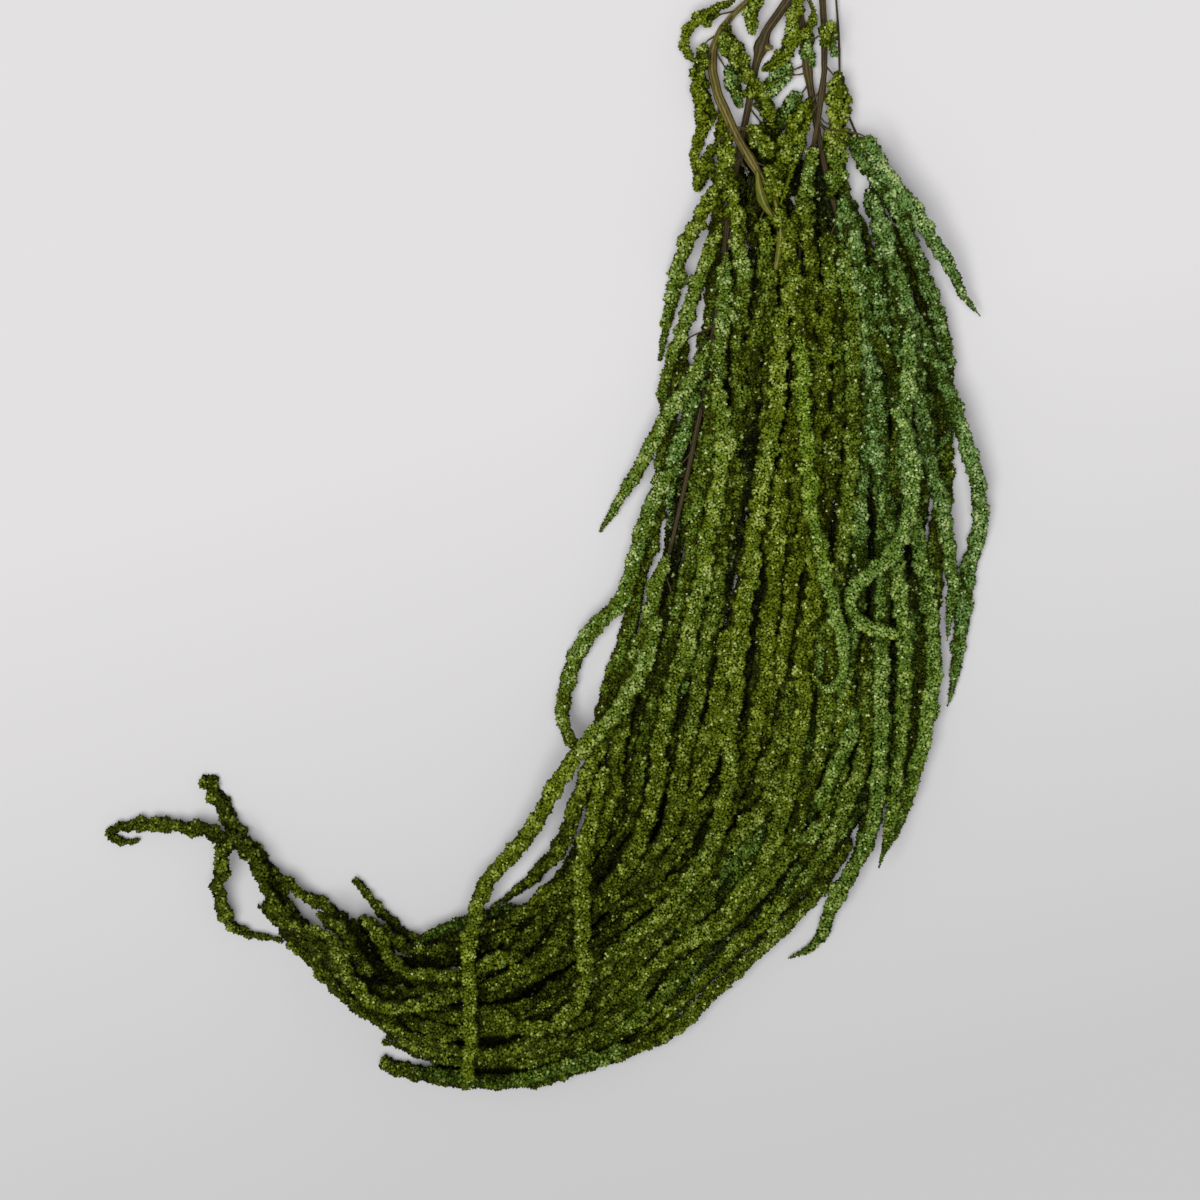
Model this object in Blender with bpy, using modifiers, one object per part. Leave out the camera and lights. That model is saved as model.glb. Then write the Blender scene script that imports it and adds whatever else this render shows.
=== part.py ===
"""A cut bunch of preserved hanging amaranthus, laid on a table with its tassels swept into a crescent.

Five woody flowering stems are held by one flat rubber band, and their tassels trail away from it. Each
stem, tassel and leaf is one solid. It rests on what was laid down before it, as when a florist lays the
bunch out by hand. All lengths are in millimetres until the objects are made. +X is to the right of the
bunch as it lies, +Y points to the cut ends of the stems and +Z up. The origin is the middle of the
bunch's underside.
"""

import math

import bpy
import numpy as np

MM = 0.001  # metres

# ---- driving dimensions, in millimetres ----
TASSEL_RADIUS = 4.6
STALK_RADIUS = 0.9  # the bare stalk that joins a tassel to its stem
STALK_LENGTH = 8.0
SWELL_LENGTH = 16.0  # over which the stalk widens into the tassel
TAPER_LENGTH = 60.0  # over which the tassel narrows to its tip
TIP_SHARE = 0.38  # tip radius, as a share of the tassel's radius

GAP = 0.45 # between one round piece and the next
ROUNDNESS = 0.96  # mean radius of an eight-sided tube, as a share of its corners' radius
STEEPEST = 0.5  # the steepest that a piece climbs over another
SAMPLE = 2.5  # spacing of the places where a piece is measured against the others
SAG = 0.5  # how far a straight stretch of a tube cuts the corner of its curve
LONGEST = 21.0  # longest straight stretch of a tube

BAND_Y = 212.0
BAND_WIDTH = 8.0
BAND_THICKNESS = 1.0
BAND_CLEARANCE = 0.5

LEAF_THICKNESS = 0.6

# The two sides of the lying bunch, at matching stations from the band to the end of the tail.
INNER_SIDE = [(114, 212), (72, 151), (69, 88), (58, 34), (49, -20), (36, -92), (21, -155),
              (18, -195), (-3, -220), (-30, -238), (-59, -249), (-86, -238), (-120, -218), (-144, -182)]
OUTER_SIDE = [(129, 212), (135, 151), (150, 93), (180, 39), (190, -20), (182, -92), (175, -155),
              (137, -218), (83, -261), (29, -303), (-52, -308), (-97, -272), (-125, -249), (-149, -195)]


# ---- routes ----

def smooth_line(points, step):
    """Points `step` apart along a smooth curve that passes through the given ones."""
    points = np.array(points, dtype=float)
    knots = np.append(0.0, np.cumsum(np.linalg.norm(np.diff(points, axis=0), axis=1)))
    slopes = np.gradient(points, knots, axis=0)
    places = np.linspace(0.0, knots[-1], int(knots[-1]) + 2)
    left = np.clip(np.searchsorted(knots, places, side="right") - 1, 0, len(knots) - 2)
    span = (knots[left + 1] - knots[left])[:, None]
    t = (places - knots[left])[:, None] / span
    line = ((2 * t**3 - 3 * t**2 + 1) * points[left] + (t**3 - 2 * t**2 + t) * span * slopes[left]
            + (3 * t**2 - 2 * t**3) * points[left + 1] + (t**3 - t**2) * span * slopes[left + 1])
    return evenly_spaced(line, step)


def lengths_along(line):
    return np.append(0.0, np.cumsum(np.linalg.norm(np.diff(line, axis=0), axis=1)))


def evenly_spaced(line, step):
    along = lengths_along(line)
    places = np.linspace(0.0, along[-1], max(int(round(along[-1] / step)), 2) + 1)
    return np.column_stack([np.interp(places, along, line[:, axis]) for axis in range(line.shape[1])])


STATION_STEPS = 40  # points between one station and the next


def station_line(side):
    """One side of the bunch, with STATION_STEPS points from each station to the next."""
    side = np.array(side, dtype=float)
    slopes = np.gradient(side, axis=0)
    places = np.linspace(0.0, len(side) - 1.0, (len(side) - 1) * STATION_STEPS + 1)
    left = np.clip(places.astype(int), 0, len(side) - 2)
    t = (places - left)[:, None]
    return ((2 * t**3 - 3 * t**2 + 1) * side[left] + (t**3 - 2 * t**2 + t) * slopes[left]
            + (3 * t**2 - 2 * t**3) * side[left + 1] + (t**3 - t**2) * slopes[left + 1])


INNER_LINE = station_line(INNER_SIDE)
OUTER_LINE = station_line(OUTER_SIDE)


def across(station, share):
    """The point at a station of the bunch, `share` of the way from its inner side to its outer side."""
    row = int(round(station * STATION_STEPS))
    return tuple(INNER_LINE[row] * (1 - share) + OUTER_LINE[row] * share)


def stream(*stops):
    """A route that follows the bunch through its stops, each a station and a share of the way across."""
    stations = [stop[0] for stop in stops]
    shares = [stop[1] for stop in stops]
    count = max(int(round((stations[-1] - stations[0]) * 1.5)), 2)
    return [across(station, np.interp(station, stations, shares))
            for station in np.linspace(stations[0], stations[-1], count + 1)]


# ---- laying one piece on the others ----

laid = []  # for each straight stretch laid so far: its ends (x, y, z) and the radius at each end


def straight_stretches(line):
    """The places on a flat curve that a tube needs, so that no stretch cuts a corner by more than SAG."""
    kept = [0]
    here = 0
    while here < len(line) - 1:
        there = here + 1
        while there + 1 < len(line) and fits_straight(line[here:there + 2]):
            there += 1
        kept.append(there)
        here = there
    return kept


def fits_straight(stretch):
    chord = stretch[-1] - stretch[0]
    length = np.linalg.norm(chord)
    if length > LONGEST:
        return False
    offsets = (stretch[:, 0] - stretch[0, 0]) * chord[1] - (stretch[:, 1] - stretch[0, 1]) * chord[0]
    return np.abs(offsets).max() <= SAG * length


def heights_needed(spots, radii):
    """The lowest that a ball of each radius can lie at each spot, over all that is laid already."""
    stretches = np.array(laid)
    start, run = stretches[:, 0:3], stretches[:, 3:6] - stretches[:, 0:3]
    level = np.maximum(np.linalg.norm(run[:, :2], axis=1), 1e-6)
    away = spots[:, None, :] - start[None, :, :2]
    share = np.clip((away * run[None, :, :2]).sum(axis=2) / level**2, 0.0, 1.0)
    offset = np.linalg.norm(away - share[:, :, None] * run[None, :, :2], axis=2)
    girth = stretches[:, 6] * (1 - share) + stretches[:, 7] * share
    reach = ROUNDNESS * (girth + radii[:, None]) + GAP
    slant = np.sqrt(1 + (run[:, 2] / level) ** 2)
    tops = start[:, 2] + run[:, 2] * share + np.sqrt(np.maximum(reach**2 - offset**2, 0.0)) * slant
    return np.where(offset < reach, tops, 0.0).max(axis=1)


def rest_on_pile(line, radius_at, lift_at):
    """The points of a tube that lies along a flat line on the pile, and its radius at each."""
    along = lengths_along(line)
    kept = straight_stretches(line)
    places = along[kept]
    girths = radius_at(places, along[-1])
    tested = np.concatenate([np.linspace(left, right, max(int((right - left) / SAMPLE), 1) + 1)
                             for left, right in zip(places[:-1], places[1:])])
    spots = np.column_stack([np.interp(tested, places, line[kept, axis]) for axis in (0, 1)])
    radii = np.interp(tested, places, girths)
    needed = radii + lift_at(spots)
    if laid:
        needed = np.maximum(needed, heights_needed(spots, radii))
    # A knot is as high as the highest need of the two stretches that it joins.
    heights = np.array([needed[(tested >= places[max(knot - 1, 0)])
                               & (tested <= places[min(knot + 1, len(places) - 1)])].max()
                        for knot in range(len(places))])
    # A stiff piece climbs and falls gently.
    distance = np.abs(places[:, None] - places[None, :])
    heights = (heights[None, :] - STEEPEST * distance).max(axis=1)
    return np.column_stack([line[kept], heights]), girths


def shifted(line, early, late):
    """A flat line moved sideways by `early` at a third of its length and by `late` at two thirds."""
    along = lengths_along(line)
    heading = np.gradient(line, axis=0)
    sideways = np.column_stack([heading[:, 1], -heading[:, 0]]) / np.linalg.norm(heading, axis=1)[:, None]
    amount = np.interp(along / along[-1], (0.0, 0.33, 0.67, 1.0), (0.0, early, late, 0.0))
    return line + sideways * amount[:, None]


def lay(route, radius_at, play=0.0, lift_at=lambda spots: 0.0):
    """Lay a flexible round piece along a route, where it sinks lowest within `play` to either side."""
    line = smooth_line(route, SAMPLE)
    moves = (-play, -play / 2, 0.0, play / 2, play) if play else (0.0,)
    tries = [rest_on_pile(shifted(line, early, late), radius_at, lift_at)
             for early in moves for late in moves]
    points, girths = min(tries, key=lambda piece: piece[0][:, 2].mean())
    for left in range(len(points) - 1):
        laid.append((*points[left], *points[left + 1], girths[left], girths[left + 1]))
    return points, girths


# ---- radius along a piece ----

def ease(share):
    share = np.clip(share, 0.0, 1.0)
    return share * share * (3 - 2 * share)


def tassel_girth(radius):
    """A bare stalk, an even tassel and a narrowing tip."""
    def radius_at(along, length):
        swell = ease((along - STALK_LENGTH) / SWELL_LENGTH)
        taper = np.sin(np.clip((length - along) / TAPER_LENGTH, 0.0, 1.0) * math.pi / 2)
        body = radius * (TIP_SHARE + (1 - TIP_SHARE) * taper)
        return STALK_RADIUS + (body - STALK_RADIUS) * swell
    return radius_at


def stem_girth(cut_radius, end_radius):
    """An even taper from the cut end to the last flower."""
    def radius_at(along, length):
        return cut_radius + (end_radius - cut_radius) * along / length
    return radius_at


def leaf_girth(half_width):
    """Half the leaf's width: a short leafstalk, a lance-shaped blade and a pointed tip."""
    def radius_at(along, length):
        blade = np.sin(np.clip(along / length - 0.15, 0.0, 0.85) / 0.85 * math.pi)
        return STALK_RADIUS + (half_width - STALK_RADIUS) * blade
    return radius_at


# ---- the objects ----

def new_material(name, colour, roughness):
    material = bpy.data.materials.new(name)
    material.use_nodes = True
    shader = material.node_tree.nodes["Principled BSDF"]
    shader.inputs["Base Color"].default_value = (*colour, 1.0)
    shader.inputs["Roughness"].default_value = roughness
    material.diffuse_color = (*colour, 1.0)
    return material


def new_tube(name, points, girths, material, collection):
    curve = bpy.data.curves.new(name, "CURVE")
    curve.dimensions = "3D"
    curve.twist_mode = "Z_UP"
    curve.bevel_depth = MM
    curve.bevel_resolution = 2
    curve.use_fill_caps = True
    spline = curve.splines.new("POLY")
    spline.points.add(len(points) - 1)
    for knot, point, girth in zip(spline.points, points, girths):
        knot.co = (*(point * MM), 1.0)
        knot.radius = girth
    curve.materials.append(material)
    tube = bpy.data.objects.new(name, curve)
    collection.objects.link(tube)
    return tube


def new_leaf(name, points, girths, material, collection):
    """A blade folded down along its midrib, from a grid whose rows follow the leaf's route."""
    bpy.ops.mesh.primitive_grid_add(x_subdivisions=2, y_subdivisions=len(points) - 1, size=2)
    leaf = bpy.context.active_object
    leaf.name = name
    leaf.data.name = name
    bpy.ops.object.shade_smooth()
    headings = np.gradient(points, axis=0)
    fold = math.radians(35)  # between a half of the blade and straight down
    rows = len(points) - 1
    for vertex in leaf.data.vertices:
        row = int(round((vertex.co.y + 1) / 2 * rows))
        sideways = np.array([headings[row][1], -headings[row][0], 0.0])
        sideways /= np.linalg.norm(sideways)
        half = girths[row] - LEAF_THICKNESS / 2
        place = points[row] + sideways * vertex.co.x * half * math.sin(fold)
        place[2] -= half * (abs(vertex.co.x) * 2 - 1) * math.cos(fold) * 0.9
        vertex.co = place * MM
    solidify = leaf.modifiers.new("thickness", "SOLIDIFY")
    solidify.thickness = LEAF_THICKNESS * MM
    solidify.offset = 0.0
    leaf.data.materials.append(material)
    for owner in leaf.users_collection:
        owner.objects.unlink(leaf)
    collection.objects.link(leaf)
    return leaf


def new_band(stems, material, collection):
    """A flat rubber band stretched round the stems."""
    circles = []
    for points, girths in stems:
        for y in np.linspace(BAND_Y - BAND_WIDTH / 2, BAND_Y + BAND_WIDTH / 2, 5):
            order = np.argsort(points[:, 1])
            circles.append([np.interp(y, points[order, 1], values[order])
                            for values in (points[:, 0], points[:, 2], girths)])
    circles = np.array(circles)
    sides = 36
    angles = np.arange(sides) * math.tau / sides
    outward = np.column_stack([np.cos(angles), np.sin(angles)])
    reach = (circles[:, :2] @ outward.T + circles[:, 2:3]).max(axis=0) + BAND_CLEARANCE
    following = np.roll(outward, -1, axis=0)
    turn = outward[:, 0] * following[:, 1] - outward[:, 1] * following[:, 0]
    next_reach = np.roll(reach, -1)
    corner_x = (reach * following[:, 1] - next_reach * outward[:, 1]) / turn
    corner_z = (next_reach * outward[:, 0] - reach * following[:, 0]) / turn
    near = BAND_Y - BAND_WIDTH / 2
    corners = [(x, near + width, z) for width in (0.0, BAND_WIDTH) for x, z in zip(corner_x, corner_z)]
    faces = [(i, i + sides, (i + 1) % sides + sides, (i + 1) % sides) for i in range(sides)]
    mesh = bpy.data.meshes.new("rubber_band")
    mesh.from_pydata([tuple(np.array(corner) * MM) for corner in corners], [], faces)
    mesh.shade_smooth()
    mesh.materials.append(material)
    band = bpy.data.objects.new("rubber_band", mesh)
    solidify = band.modifiers.new("thickness", "SOLIDIFY")
    solidify.thickness = BAND_THICKNESS * MM
    solidify.offset = 1.0
    collection.objects.link(band)
    return band


# ---- the bunch ----

def band_lift(spots):
    """Room for the rubber band between the stems and the table."""
    near_band = np.abs(spots[:, 1] - BAND_Y) < BAND_WIDTH
    return near_band * (BAND_THICKNESS + BAND_CLEARANCE + GAP)


# Tassels that lie on the table, under all the rest.
UNDER = [
    stream((1.2, 0.12), (5.0, 0.13), (10.3, 0.14)),
    stream((1.3, 0.47), (5.0, 0.46), (11.3, 0.52)),
    stream((1.4, 0.80), (5.0, 0.80), (7.8, 0.78)),
    stream((1.7, 0.30), (6.0, 0.30), (8.7, 0.30)),
    stream((1.8, 0.64), (5.0, 0.63), (9.3, 0.62)),
    stream((2.0, 0.95), (4.0, 0.93), (6.6, 0.94)),
    stream((3.0, 0.05), (6.0, 0.03), (8.2, 0.05)),
    stream((3.2, 0.21), (7.0, 0.22), (10.9, 0.34)),
    stream((2.9, 0.38), (6.0, 0.38), (9.1, 0.50)),
    stream((3.1, 0.55), (6.0, 0.55), (10.4, 0.88)),
    stream((3.3, 0.71), (6.0, 0.74), (9.4, 0.97)),
]

# Tassels whose ends make the tail.
TAIL = [
    stream((6.4, 0.18), (8.6, 0.30)) + [(-21, -272), (-45, -288), (-66, -290), (-78, -283),
                                        (-92, -271), (-106, -256), (-117, -244), (-128, -229)],
    stream((6.0, 0.30), (8.4, 0.42)) + [(-5, -262), (-43, -277), (-66, -277), (-88, -265), (-108, -248),
                                        (-120, -229), (-128, -212), (-138, -202), (-144, -189),
                                        (-150, -180), (-152, -172)],
    stream((6.6, 0.08), (8.4, 0.20)) + [(-30, -260), (-52, -266), (-70, -264), (-81, -254), (-89, -240),
                                        (-99, -231), (-111, -224), (-121, -216)],
    stream((8.0, 0.55), (9.0, 0.52)) + [(-60, -270), (-97, -249), (-117, -234), (-128, -218),
                                        (-135, -204), (-149, -197), (-162, -194), (-178, -194),
                                        (-191, -194), (-198, -198), (-191, -202), (-184, -200)],
    [(-112, -210), (-128, -200), (-141, -204), (-144, -218), (-143, -230), (-139, -239),
     (-131, -242), (-120, -246)],
    stream((6.8, 0.04), (8.0, 0.10)) + [(-7, -234), (-30, -244), (-48, -250), (-60, -249), (-70, -240),
                                        (-79, -229), (-86, -218)],
    stream((6.6, 0.90), (8.0, 0.96), (8.6, 0.96)) + [(20, -297), (-3, -305), (-30, -308), (-48, -307),
                                        (-63, -304), (-74, -301)],
    stream((7.2, 0.60), (8.4, 0.66)) + [(24, -279), (0, -289), (-21, -292), (-39, -295), (-51, -300)],
]

# Stems, from the cut end. Each is its route, the radius at the cut and the radius at its last flower.
STEMS = [
    ([(124, 318), (122, 259), (117, 213), (114, 192), (114, 178), (118, 149), (124, 111), (133, 75),
      (142, 39), (148, -2), (152, -42)], 3.3, 1.6),
    ([(108, 302), (120, 259), (129, 213), (130, 192), (132, 169), (135, 131), (142, 115), (149, 95),
      (156, 70), (162, 43)], 2.9, 1.4),
    ([(114, 309), (117, 259), (121, 218), (120, 203), (113, 185), (98, 162), (95, 151), (90, 124), (86, 106),
      (82, 81), (80, 57), (76, 30), (71, 3), (65, -29), (58, -60), (50, -96), (46, -132)], 3.4, 1.5),
    ([(141, 304), (131, 259), (126, 212), (124, 192), (126, 156), (121, 115), (117, 93), (114, 61),
      (113, 34), (108, -2)], 2.8, 1.4),
    ([(135, 313), (126, 259), (120, 218), (117, 203), (104, 189), (90, 178), (79, 166), (75, 155), (76, 140),
      (82, 125), (91, 107), (102, 90), (110, 70), (116, 43), (120, 7), (122, -29)], 3.8, 1.8),
]

# Tassels that start on a stem and lie over the first ones.
OVER = [
    [(82, 126), (82, 106), (87, 82)] + stream((2.8, 0.27), (5.0, 0.30), (7.0, 0.31), (8.8, 0.30)),
    [(110, 72)] + stream((3.0, 0.47), (5.0, 0.46), (8.4, 0.40)),
    [(81, 72)] + stream((2.9, 0.17), (5.0, 0.14), (7.5, 0.13)),
    [(133, 76)] + stream((3.0, 0.66), (6.3, 0.66), (8.1, 0.80)),
    [(150, 90)] + stream((2.9, 0.82), (6.0, 0.87), (6.8, 0.95)),
    [(115, 68)] + stream((3.2, 0.40), (6.0, 0.38), (9.2, 0.56)),
    [(74, 18)] + stream((4.0, 0.22), (6.0, 0.22), (9.4, 0.33)),
    [(142, 40)] + stream((3.6, 0.75), (5.5, 0.74), (7.3, 0.86)),
    [(121, -20)] + stream((4.6, 0.56), (6.5, 0.60), (8.8, 0.72)),
    [(57, -63)] + stream((5.2, 0.11), (7.8, 0.08)),
]

# Tassels on the outer side, with the loose ends that leave the bunch.
OUTER = [
    [(142, 115), (148, 99), (156, 83), (163, 66), (169, 50), (176, 36), (178, 21), (179, 0),
     (182, -15), (175, -27)],
    [(143, 110), (148, 81), (154, 61), (160, 39), (171, 18), (179, -1), (187, -20), (193, -40),
     (194, -60), (189, -81), (187, -101), (185, -121), (181, -140)],
    [(156, 70), (160, 48), (166, 21), (171, -6), (175, -31), (180, -51), (184, -72), (184, -92),
     (181, -110)],
    [(162, 43), (162, 8), (162, -38), (169, -74), (173, -110), (171, -137), (167, -162), (162, -182),
     (157, -199), (153, -207)],
    [(152, -30), (150, -74), (149, -110), (148, -146), (147, -173), (144, -195), (137, -212),
     (129, -228), (124, -243), (117, -250), (109, -254)],
    [(152, -42), (155, -74), (159, -110), (158, -146), (156, -173), (153, -195), (150, -212)],
    [(133, 142), (144, 113), (151, 98), (161, 85), (171, 71), (180, 58), (188, 45), (196, 36)],
]

# Tassels on the inner side, some of them clear of the bunch.
INNER = [
    [(90, 108), (84, 104), (73, 88), (65, 74), (60, 59), (58, 43), (54, 29), (52, 17)],
    [(82, 84), (73, 63), (68, 45), (63, 27), (57, 12), (53, -2), (55, -15)],
    [(76, 32), (68, 7), (57, -7), (47, -22), (38, -38), (30, -50), (24, -61)],
    [(66, -24), (53, -41), (45, -58), (41, -76), (36, -93), (26, -102), (16, -117), (10, -133),
     (9, -147), (14, -159), (24, -167)],
    [(49, -110), (38, -137), (25, -158), (18, -174), (13, -189), (8, -201), (-1, -212), (-13, -223),
     (-25, -232)],
    [(51, -92), (42, -128), (30, -147), (15, -162), (4, -179), (-6, -194), (-18, -209), (-29, -220),
     (-34, -238), (-35, -263), (-34, -285), (-35, -307)],
]

# Tassels that turn back on themselves, on top of the bunch.
LOOPED = [
    [(152, 0), (163, -20), (166, -38), (162, -62), (153, -76), (142, -83), (137, -91), (140, -100),
     (148, -105), (158, -107)],
    [(113, 36), (119, -20), (121, -47), (126, -74), (131, -96), (135, -117), (132, -130), (125, -133),
     (119, -125)],
    [(30, -160), (20, -195), (18, -220), (16, -240), (16, -256), (12, -272), (2, -282), (-12, -283),
     (-22, -275)],
]

# Short side tassels between the band and the first long ones.
CURLED = [
    [(93, 182), (76, 175), (66, 167), (63, 160), (66, 152), (74, 150)],
    [(76, 158), (69, 142), (72, 120), (67, 108), (70, 96)],
    [(116, 186), (119, 169), (112, 158), (98, 149)],
    [(118, 147), (108, 146), (100, 141), (92, 137), (84, 138)],
    [(121, 135), (117, 123), (113, 111), (109, 98), (106, 86)],
]

# Leaves, each from its stem to its tip, with half its width.
LEAVES = [
    ([(95, 101), (96, 95), (96, 88), (96, 79)], 2.8),
    ([(103, 88), (105, 80), (106, 71), (106, 62), (105, 50)], 2.6),
    ([(117, 96), (114, 88), (112, 82), (111, 75)], 2.4),
]


def lowest_and_highest(pieces):
    """The lowest and highest corners of the pieces together, in metres."""
    depsgraph = bpy.context.evaluated_depsgraph_get()
    corners = []
    for piece in pieces:
        mesh = bpy.data.meshes.new_from_object(piece.evaluated_get(depsgraph))
        places = np.empty(len(mesh.vertices) * 3)
        mesh.vertices.foreach_get("co", places)
        corners.append(places.reshape(-1, 3))
        bpy.data.meshes.remove(mesh)
    corners = np.concatenate(corners)
    return corners.min(axis=0), corners.max(axis=0)


def main():
    for leftover in list(bpy.data.objects):
        bpy.data.objects.remove(leftover, do_unlink=True)
    bunch = bpy.data.collections.new("amaranthus_bunch")
    bpy.context.scene.collection.children.link(bunch)
    olive = new_material("tassel_olive", (0.100, 0.130, 0.012), 0.9)
    green = new_material("tassel_green", (0.055, 0.130, 0.030), 0.9)
    dark = new_material("tassel_dark", (0.035, 0.060, 0.008), 0.9)
    bark = new_material("stem_bark", (0.110, 0.100, 0.030), 0.65)
    blade = new_material("leaf_blade", (0.120, 0.150, 0.030), 0.7)
    rubber = new_material("band_rubber", (0.450, 0.330, 0.180), 0.6)

    def lay_tassels(name, routes, radius, play, material):
        for number, route in enumerate(routes, start=1):
            points, girths = lay(route, tassel_girth(radius), play)
            pieces.append(new_tube(f"tassel_{name}_{number}", points, girths, material, bunch))

    pieces = []
    lay_tassels("under", UNDER, TASSEL_RADIUS, 3.0, olive)
    lay_tassels("tail", TAIL, 4.0, 3.0, dark)
    stems = []
    for number, (route, cut_radius, end_radius) in enumerate(STEMS, start=1):
        points, girths = lay(route, stem_girth(cut_radius, end_radius), lift_at=band_lift)
        stems.append((points, girths))
        pieces.append(new_tube(f"stem_{number}", points, girths, bark, bunch))
    pieces.append(new_band(stems, rubber, bunch))
    lay_tassels("over", OVER, TASSEL_RADIUS, 5.0, olive)
    lay_tassels("outer", OUTER, 4.2, 2.0, green)
    lay_tassels("inner", INNER, 4.1, 2.0, olive)
    lay_tassels("looped", LOOPED, 4.1, 2.0, green)
    lay_tassels("curled", CURLED, 3.9, 1.0, olive)
    for number, (route, half_width) in enumerate(LEAVES, start=1):
        points, girths = lay(route, leaf_girth(half_width))
        pieces.append(new_leaf(f"leaf_{number}", points, girths, blade, bunch))

    lowest, highest = lowest_and_highest(pieces)
    middle = (lowest + highest) / 2
    for piece in pieces:
        piece.location = (-middle[0], -middle[1], -lowest[2])
    print("laid at", [round(length / MM, 1) for length in piece.location], "mm")


main()
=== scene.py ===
# %% [markdown]
# # A cut bunch of hanging amaranthus
#
# Hanging amaranthus flowers in long soft tassels. A tassel is a thin stalk that is packed with hundreds of
# clusters, and each cluster is a ball of tiny pointed florets. This lesson dresses a plain model of a bunch,
# in which every tassel, stem and leaf is a smooth solid, with what the eye sees on the real one:
# the florets, the ridged stems with their cut ends, the thin side stalks and the small dry leaves.
#
# The plain model is called the frame. Every place in this script comes from it, in metres.

import math

import bmesh
import bpy
import numpy as np
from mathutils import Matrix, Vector


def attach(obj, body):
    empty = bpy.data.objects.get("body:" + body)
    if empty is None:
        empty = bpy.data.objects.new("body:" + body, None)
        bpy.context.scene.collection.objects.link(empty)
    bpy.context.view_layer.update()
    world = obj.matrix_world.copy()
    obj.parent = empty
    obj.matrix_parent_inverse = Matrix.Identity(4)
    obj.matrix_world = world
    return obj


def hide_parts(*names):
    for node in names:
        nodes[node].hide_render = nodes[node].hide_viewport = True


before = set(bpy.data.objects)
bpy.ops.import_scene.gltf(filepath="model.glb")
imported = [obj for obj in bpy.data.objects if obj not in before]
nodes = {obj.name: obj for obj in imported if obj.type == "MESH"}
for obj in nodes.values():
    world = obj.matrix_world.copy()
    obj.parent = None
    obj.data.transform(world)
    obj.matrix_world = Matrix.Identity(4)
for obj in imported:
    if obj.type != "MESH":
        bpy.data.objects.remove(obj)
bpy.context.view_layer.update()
tassel_names = sorted(name for name in nodes if name.startswith("tassel_"))
stem_names = sorted(name for name in nodes if name.startswith("stem_"))

# %% [markdown]
# ## Reading the line of a tube
#
# A tassel in the frame is a tube of eight-sided rings. Its middle line and its girth are all that is needed
# to grow florets on it. The mesh comes as loose triangles, so a copy is merged first. The narrowest ring is
# found as the eight corners that lie closest together, and from there each next ring is whatever the last
# one is joined to. Reading the line keeps the dressed tassel exactly where the solid lies.

# %% The middle line of a tube
MM = 0.001
TUBE_SIDES = 8


def merged_copy(name):
    mesh = bmesh.new()
    mesh.from_mesh(nodes[name].data)
    bmesh.ops.remove_doubles(mesh, verts=mesh.verts, dist=0.001 * MM)
    mesh.verts.ensure_lookup_table()
    return mesh


def line_of(name, sides=TUBE_SIDES):
    """The centre of each ring of a tube and the radius of its corners, from the narrow end."""
    mesh = merged_copy(name)
    corners = np.array([corner.co for corner in mesh.verts])
    apart = np.linalg.norm(corners[:, None] - corners[None], axis=2)
    first = int(np.sort(apart, axis=1)[:, sides - 1].argmin())
    ring = {int(index) for index in np.argsort(apart[first])[:sides]}
    seen, centres, radii = set(), [], []
    while ring:
        seen |= ring
        places = corners[sorted(ring)]
        centres.append(places.mean(axis=0))
        radii.append(np.linalg.norm(places - centres[-1], axis=1).mean())
        ring = {edge.other_vert(mesh.verts[index]).index
                for index in ring for edge in mesh.verts[index].link_edges} - seen
    mesh.free()
    return np.array(centres), np.array(radii)


lines = {name: line_of(name) for name in tassel_names + stem_names}


def length_of(line):
    return np.linalg.norm(np.diff(line, axis=0), axis=1).sum()


print("tassels are", round(sum(length_of(lines[name][0]) for name in tassel_names), 2), "m long in all")

# %% [markdown]
# ## Places in the bunch
#
# The frame holds the fifty tassels that carry the shape. A real bunch has many more, and the others lie
# between and on top of those. Their routes are told in the bunch's own terms, so that they would follow
# the frame if it were changed. One tassel of the frame runs down the middle of the whole bunch. At each
# place along it the inner and the outer side are measured from the tassels that lie underneath, so that a
# route is just a share of the way across, at a share of the way down.

# %% The bunch's middle line and its two sides
SPINE = "tassel_under_2"
SPINE_STEP = 2 * MM
SPINE_SMOOTHING, SIDE_SMOOTHING, STREAM_SMOOTHING = 6, 15, 8  # the reach of a running mean, in points
WIDEST = 95 * MM
HUNDREDTHS = 100


def evenly_spaced(line, step):
    """Points a step apart along a line of straight stretches."""
    line = np.asarray(line, dtype=float)
    along = np.append(0.0, np.cumsum(np.linalg.norm(np.diff(line, axis=0), axis=1)))
    places = np.linspace(0.0, along[-1], max(round(along[-1] / step), 4) + 1)
    return np.column_stack([np.interp(places, along, column) for column in line.T])


def softened(values, reach):
    """A running mean that keeps both ends in place."""
    values = np.asarray(values, dtype=float)
    if values.ndim > 1:
        return np.column_stack([softened(column, reach) for column in values.T])
    start = 2 * values[0] - values[reach:0:-1]
    end = 2 * values[-1] - values[-2:-reach - 2:-1]
    weights = np.hanning(2 * reach + 3)[1:-1]
    return np.convolve(np.concatenate([start, values, end]), weights / weights.sum(), "valid")


def headings(line):
    """The direction at each point of a line."""
    way = np.gradient(line, axis=0)
    return way / np.linalg.norm(way, axis=1)[:, None]


def left_of(way):
    return np.column_stack([-way[:, 1], way[:, 0]])


def ramp(values, start, length):
    """0 up to the start, and 1 from a length further on. A length below zero runs it the other way."""
    return np.clip((values - start) / length, 0, 1)


spine = softened(evenly_spaced(lines[SPINE][0][:, :2], SPINE_STEP), SPINE_SMOOTHING)
heading = headings(spine)
outwards = left_of(heading)  # from the spine to the outer side of the bend


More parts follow.
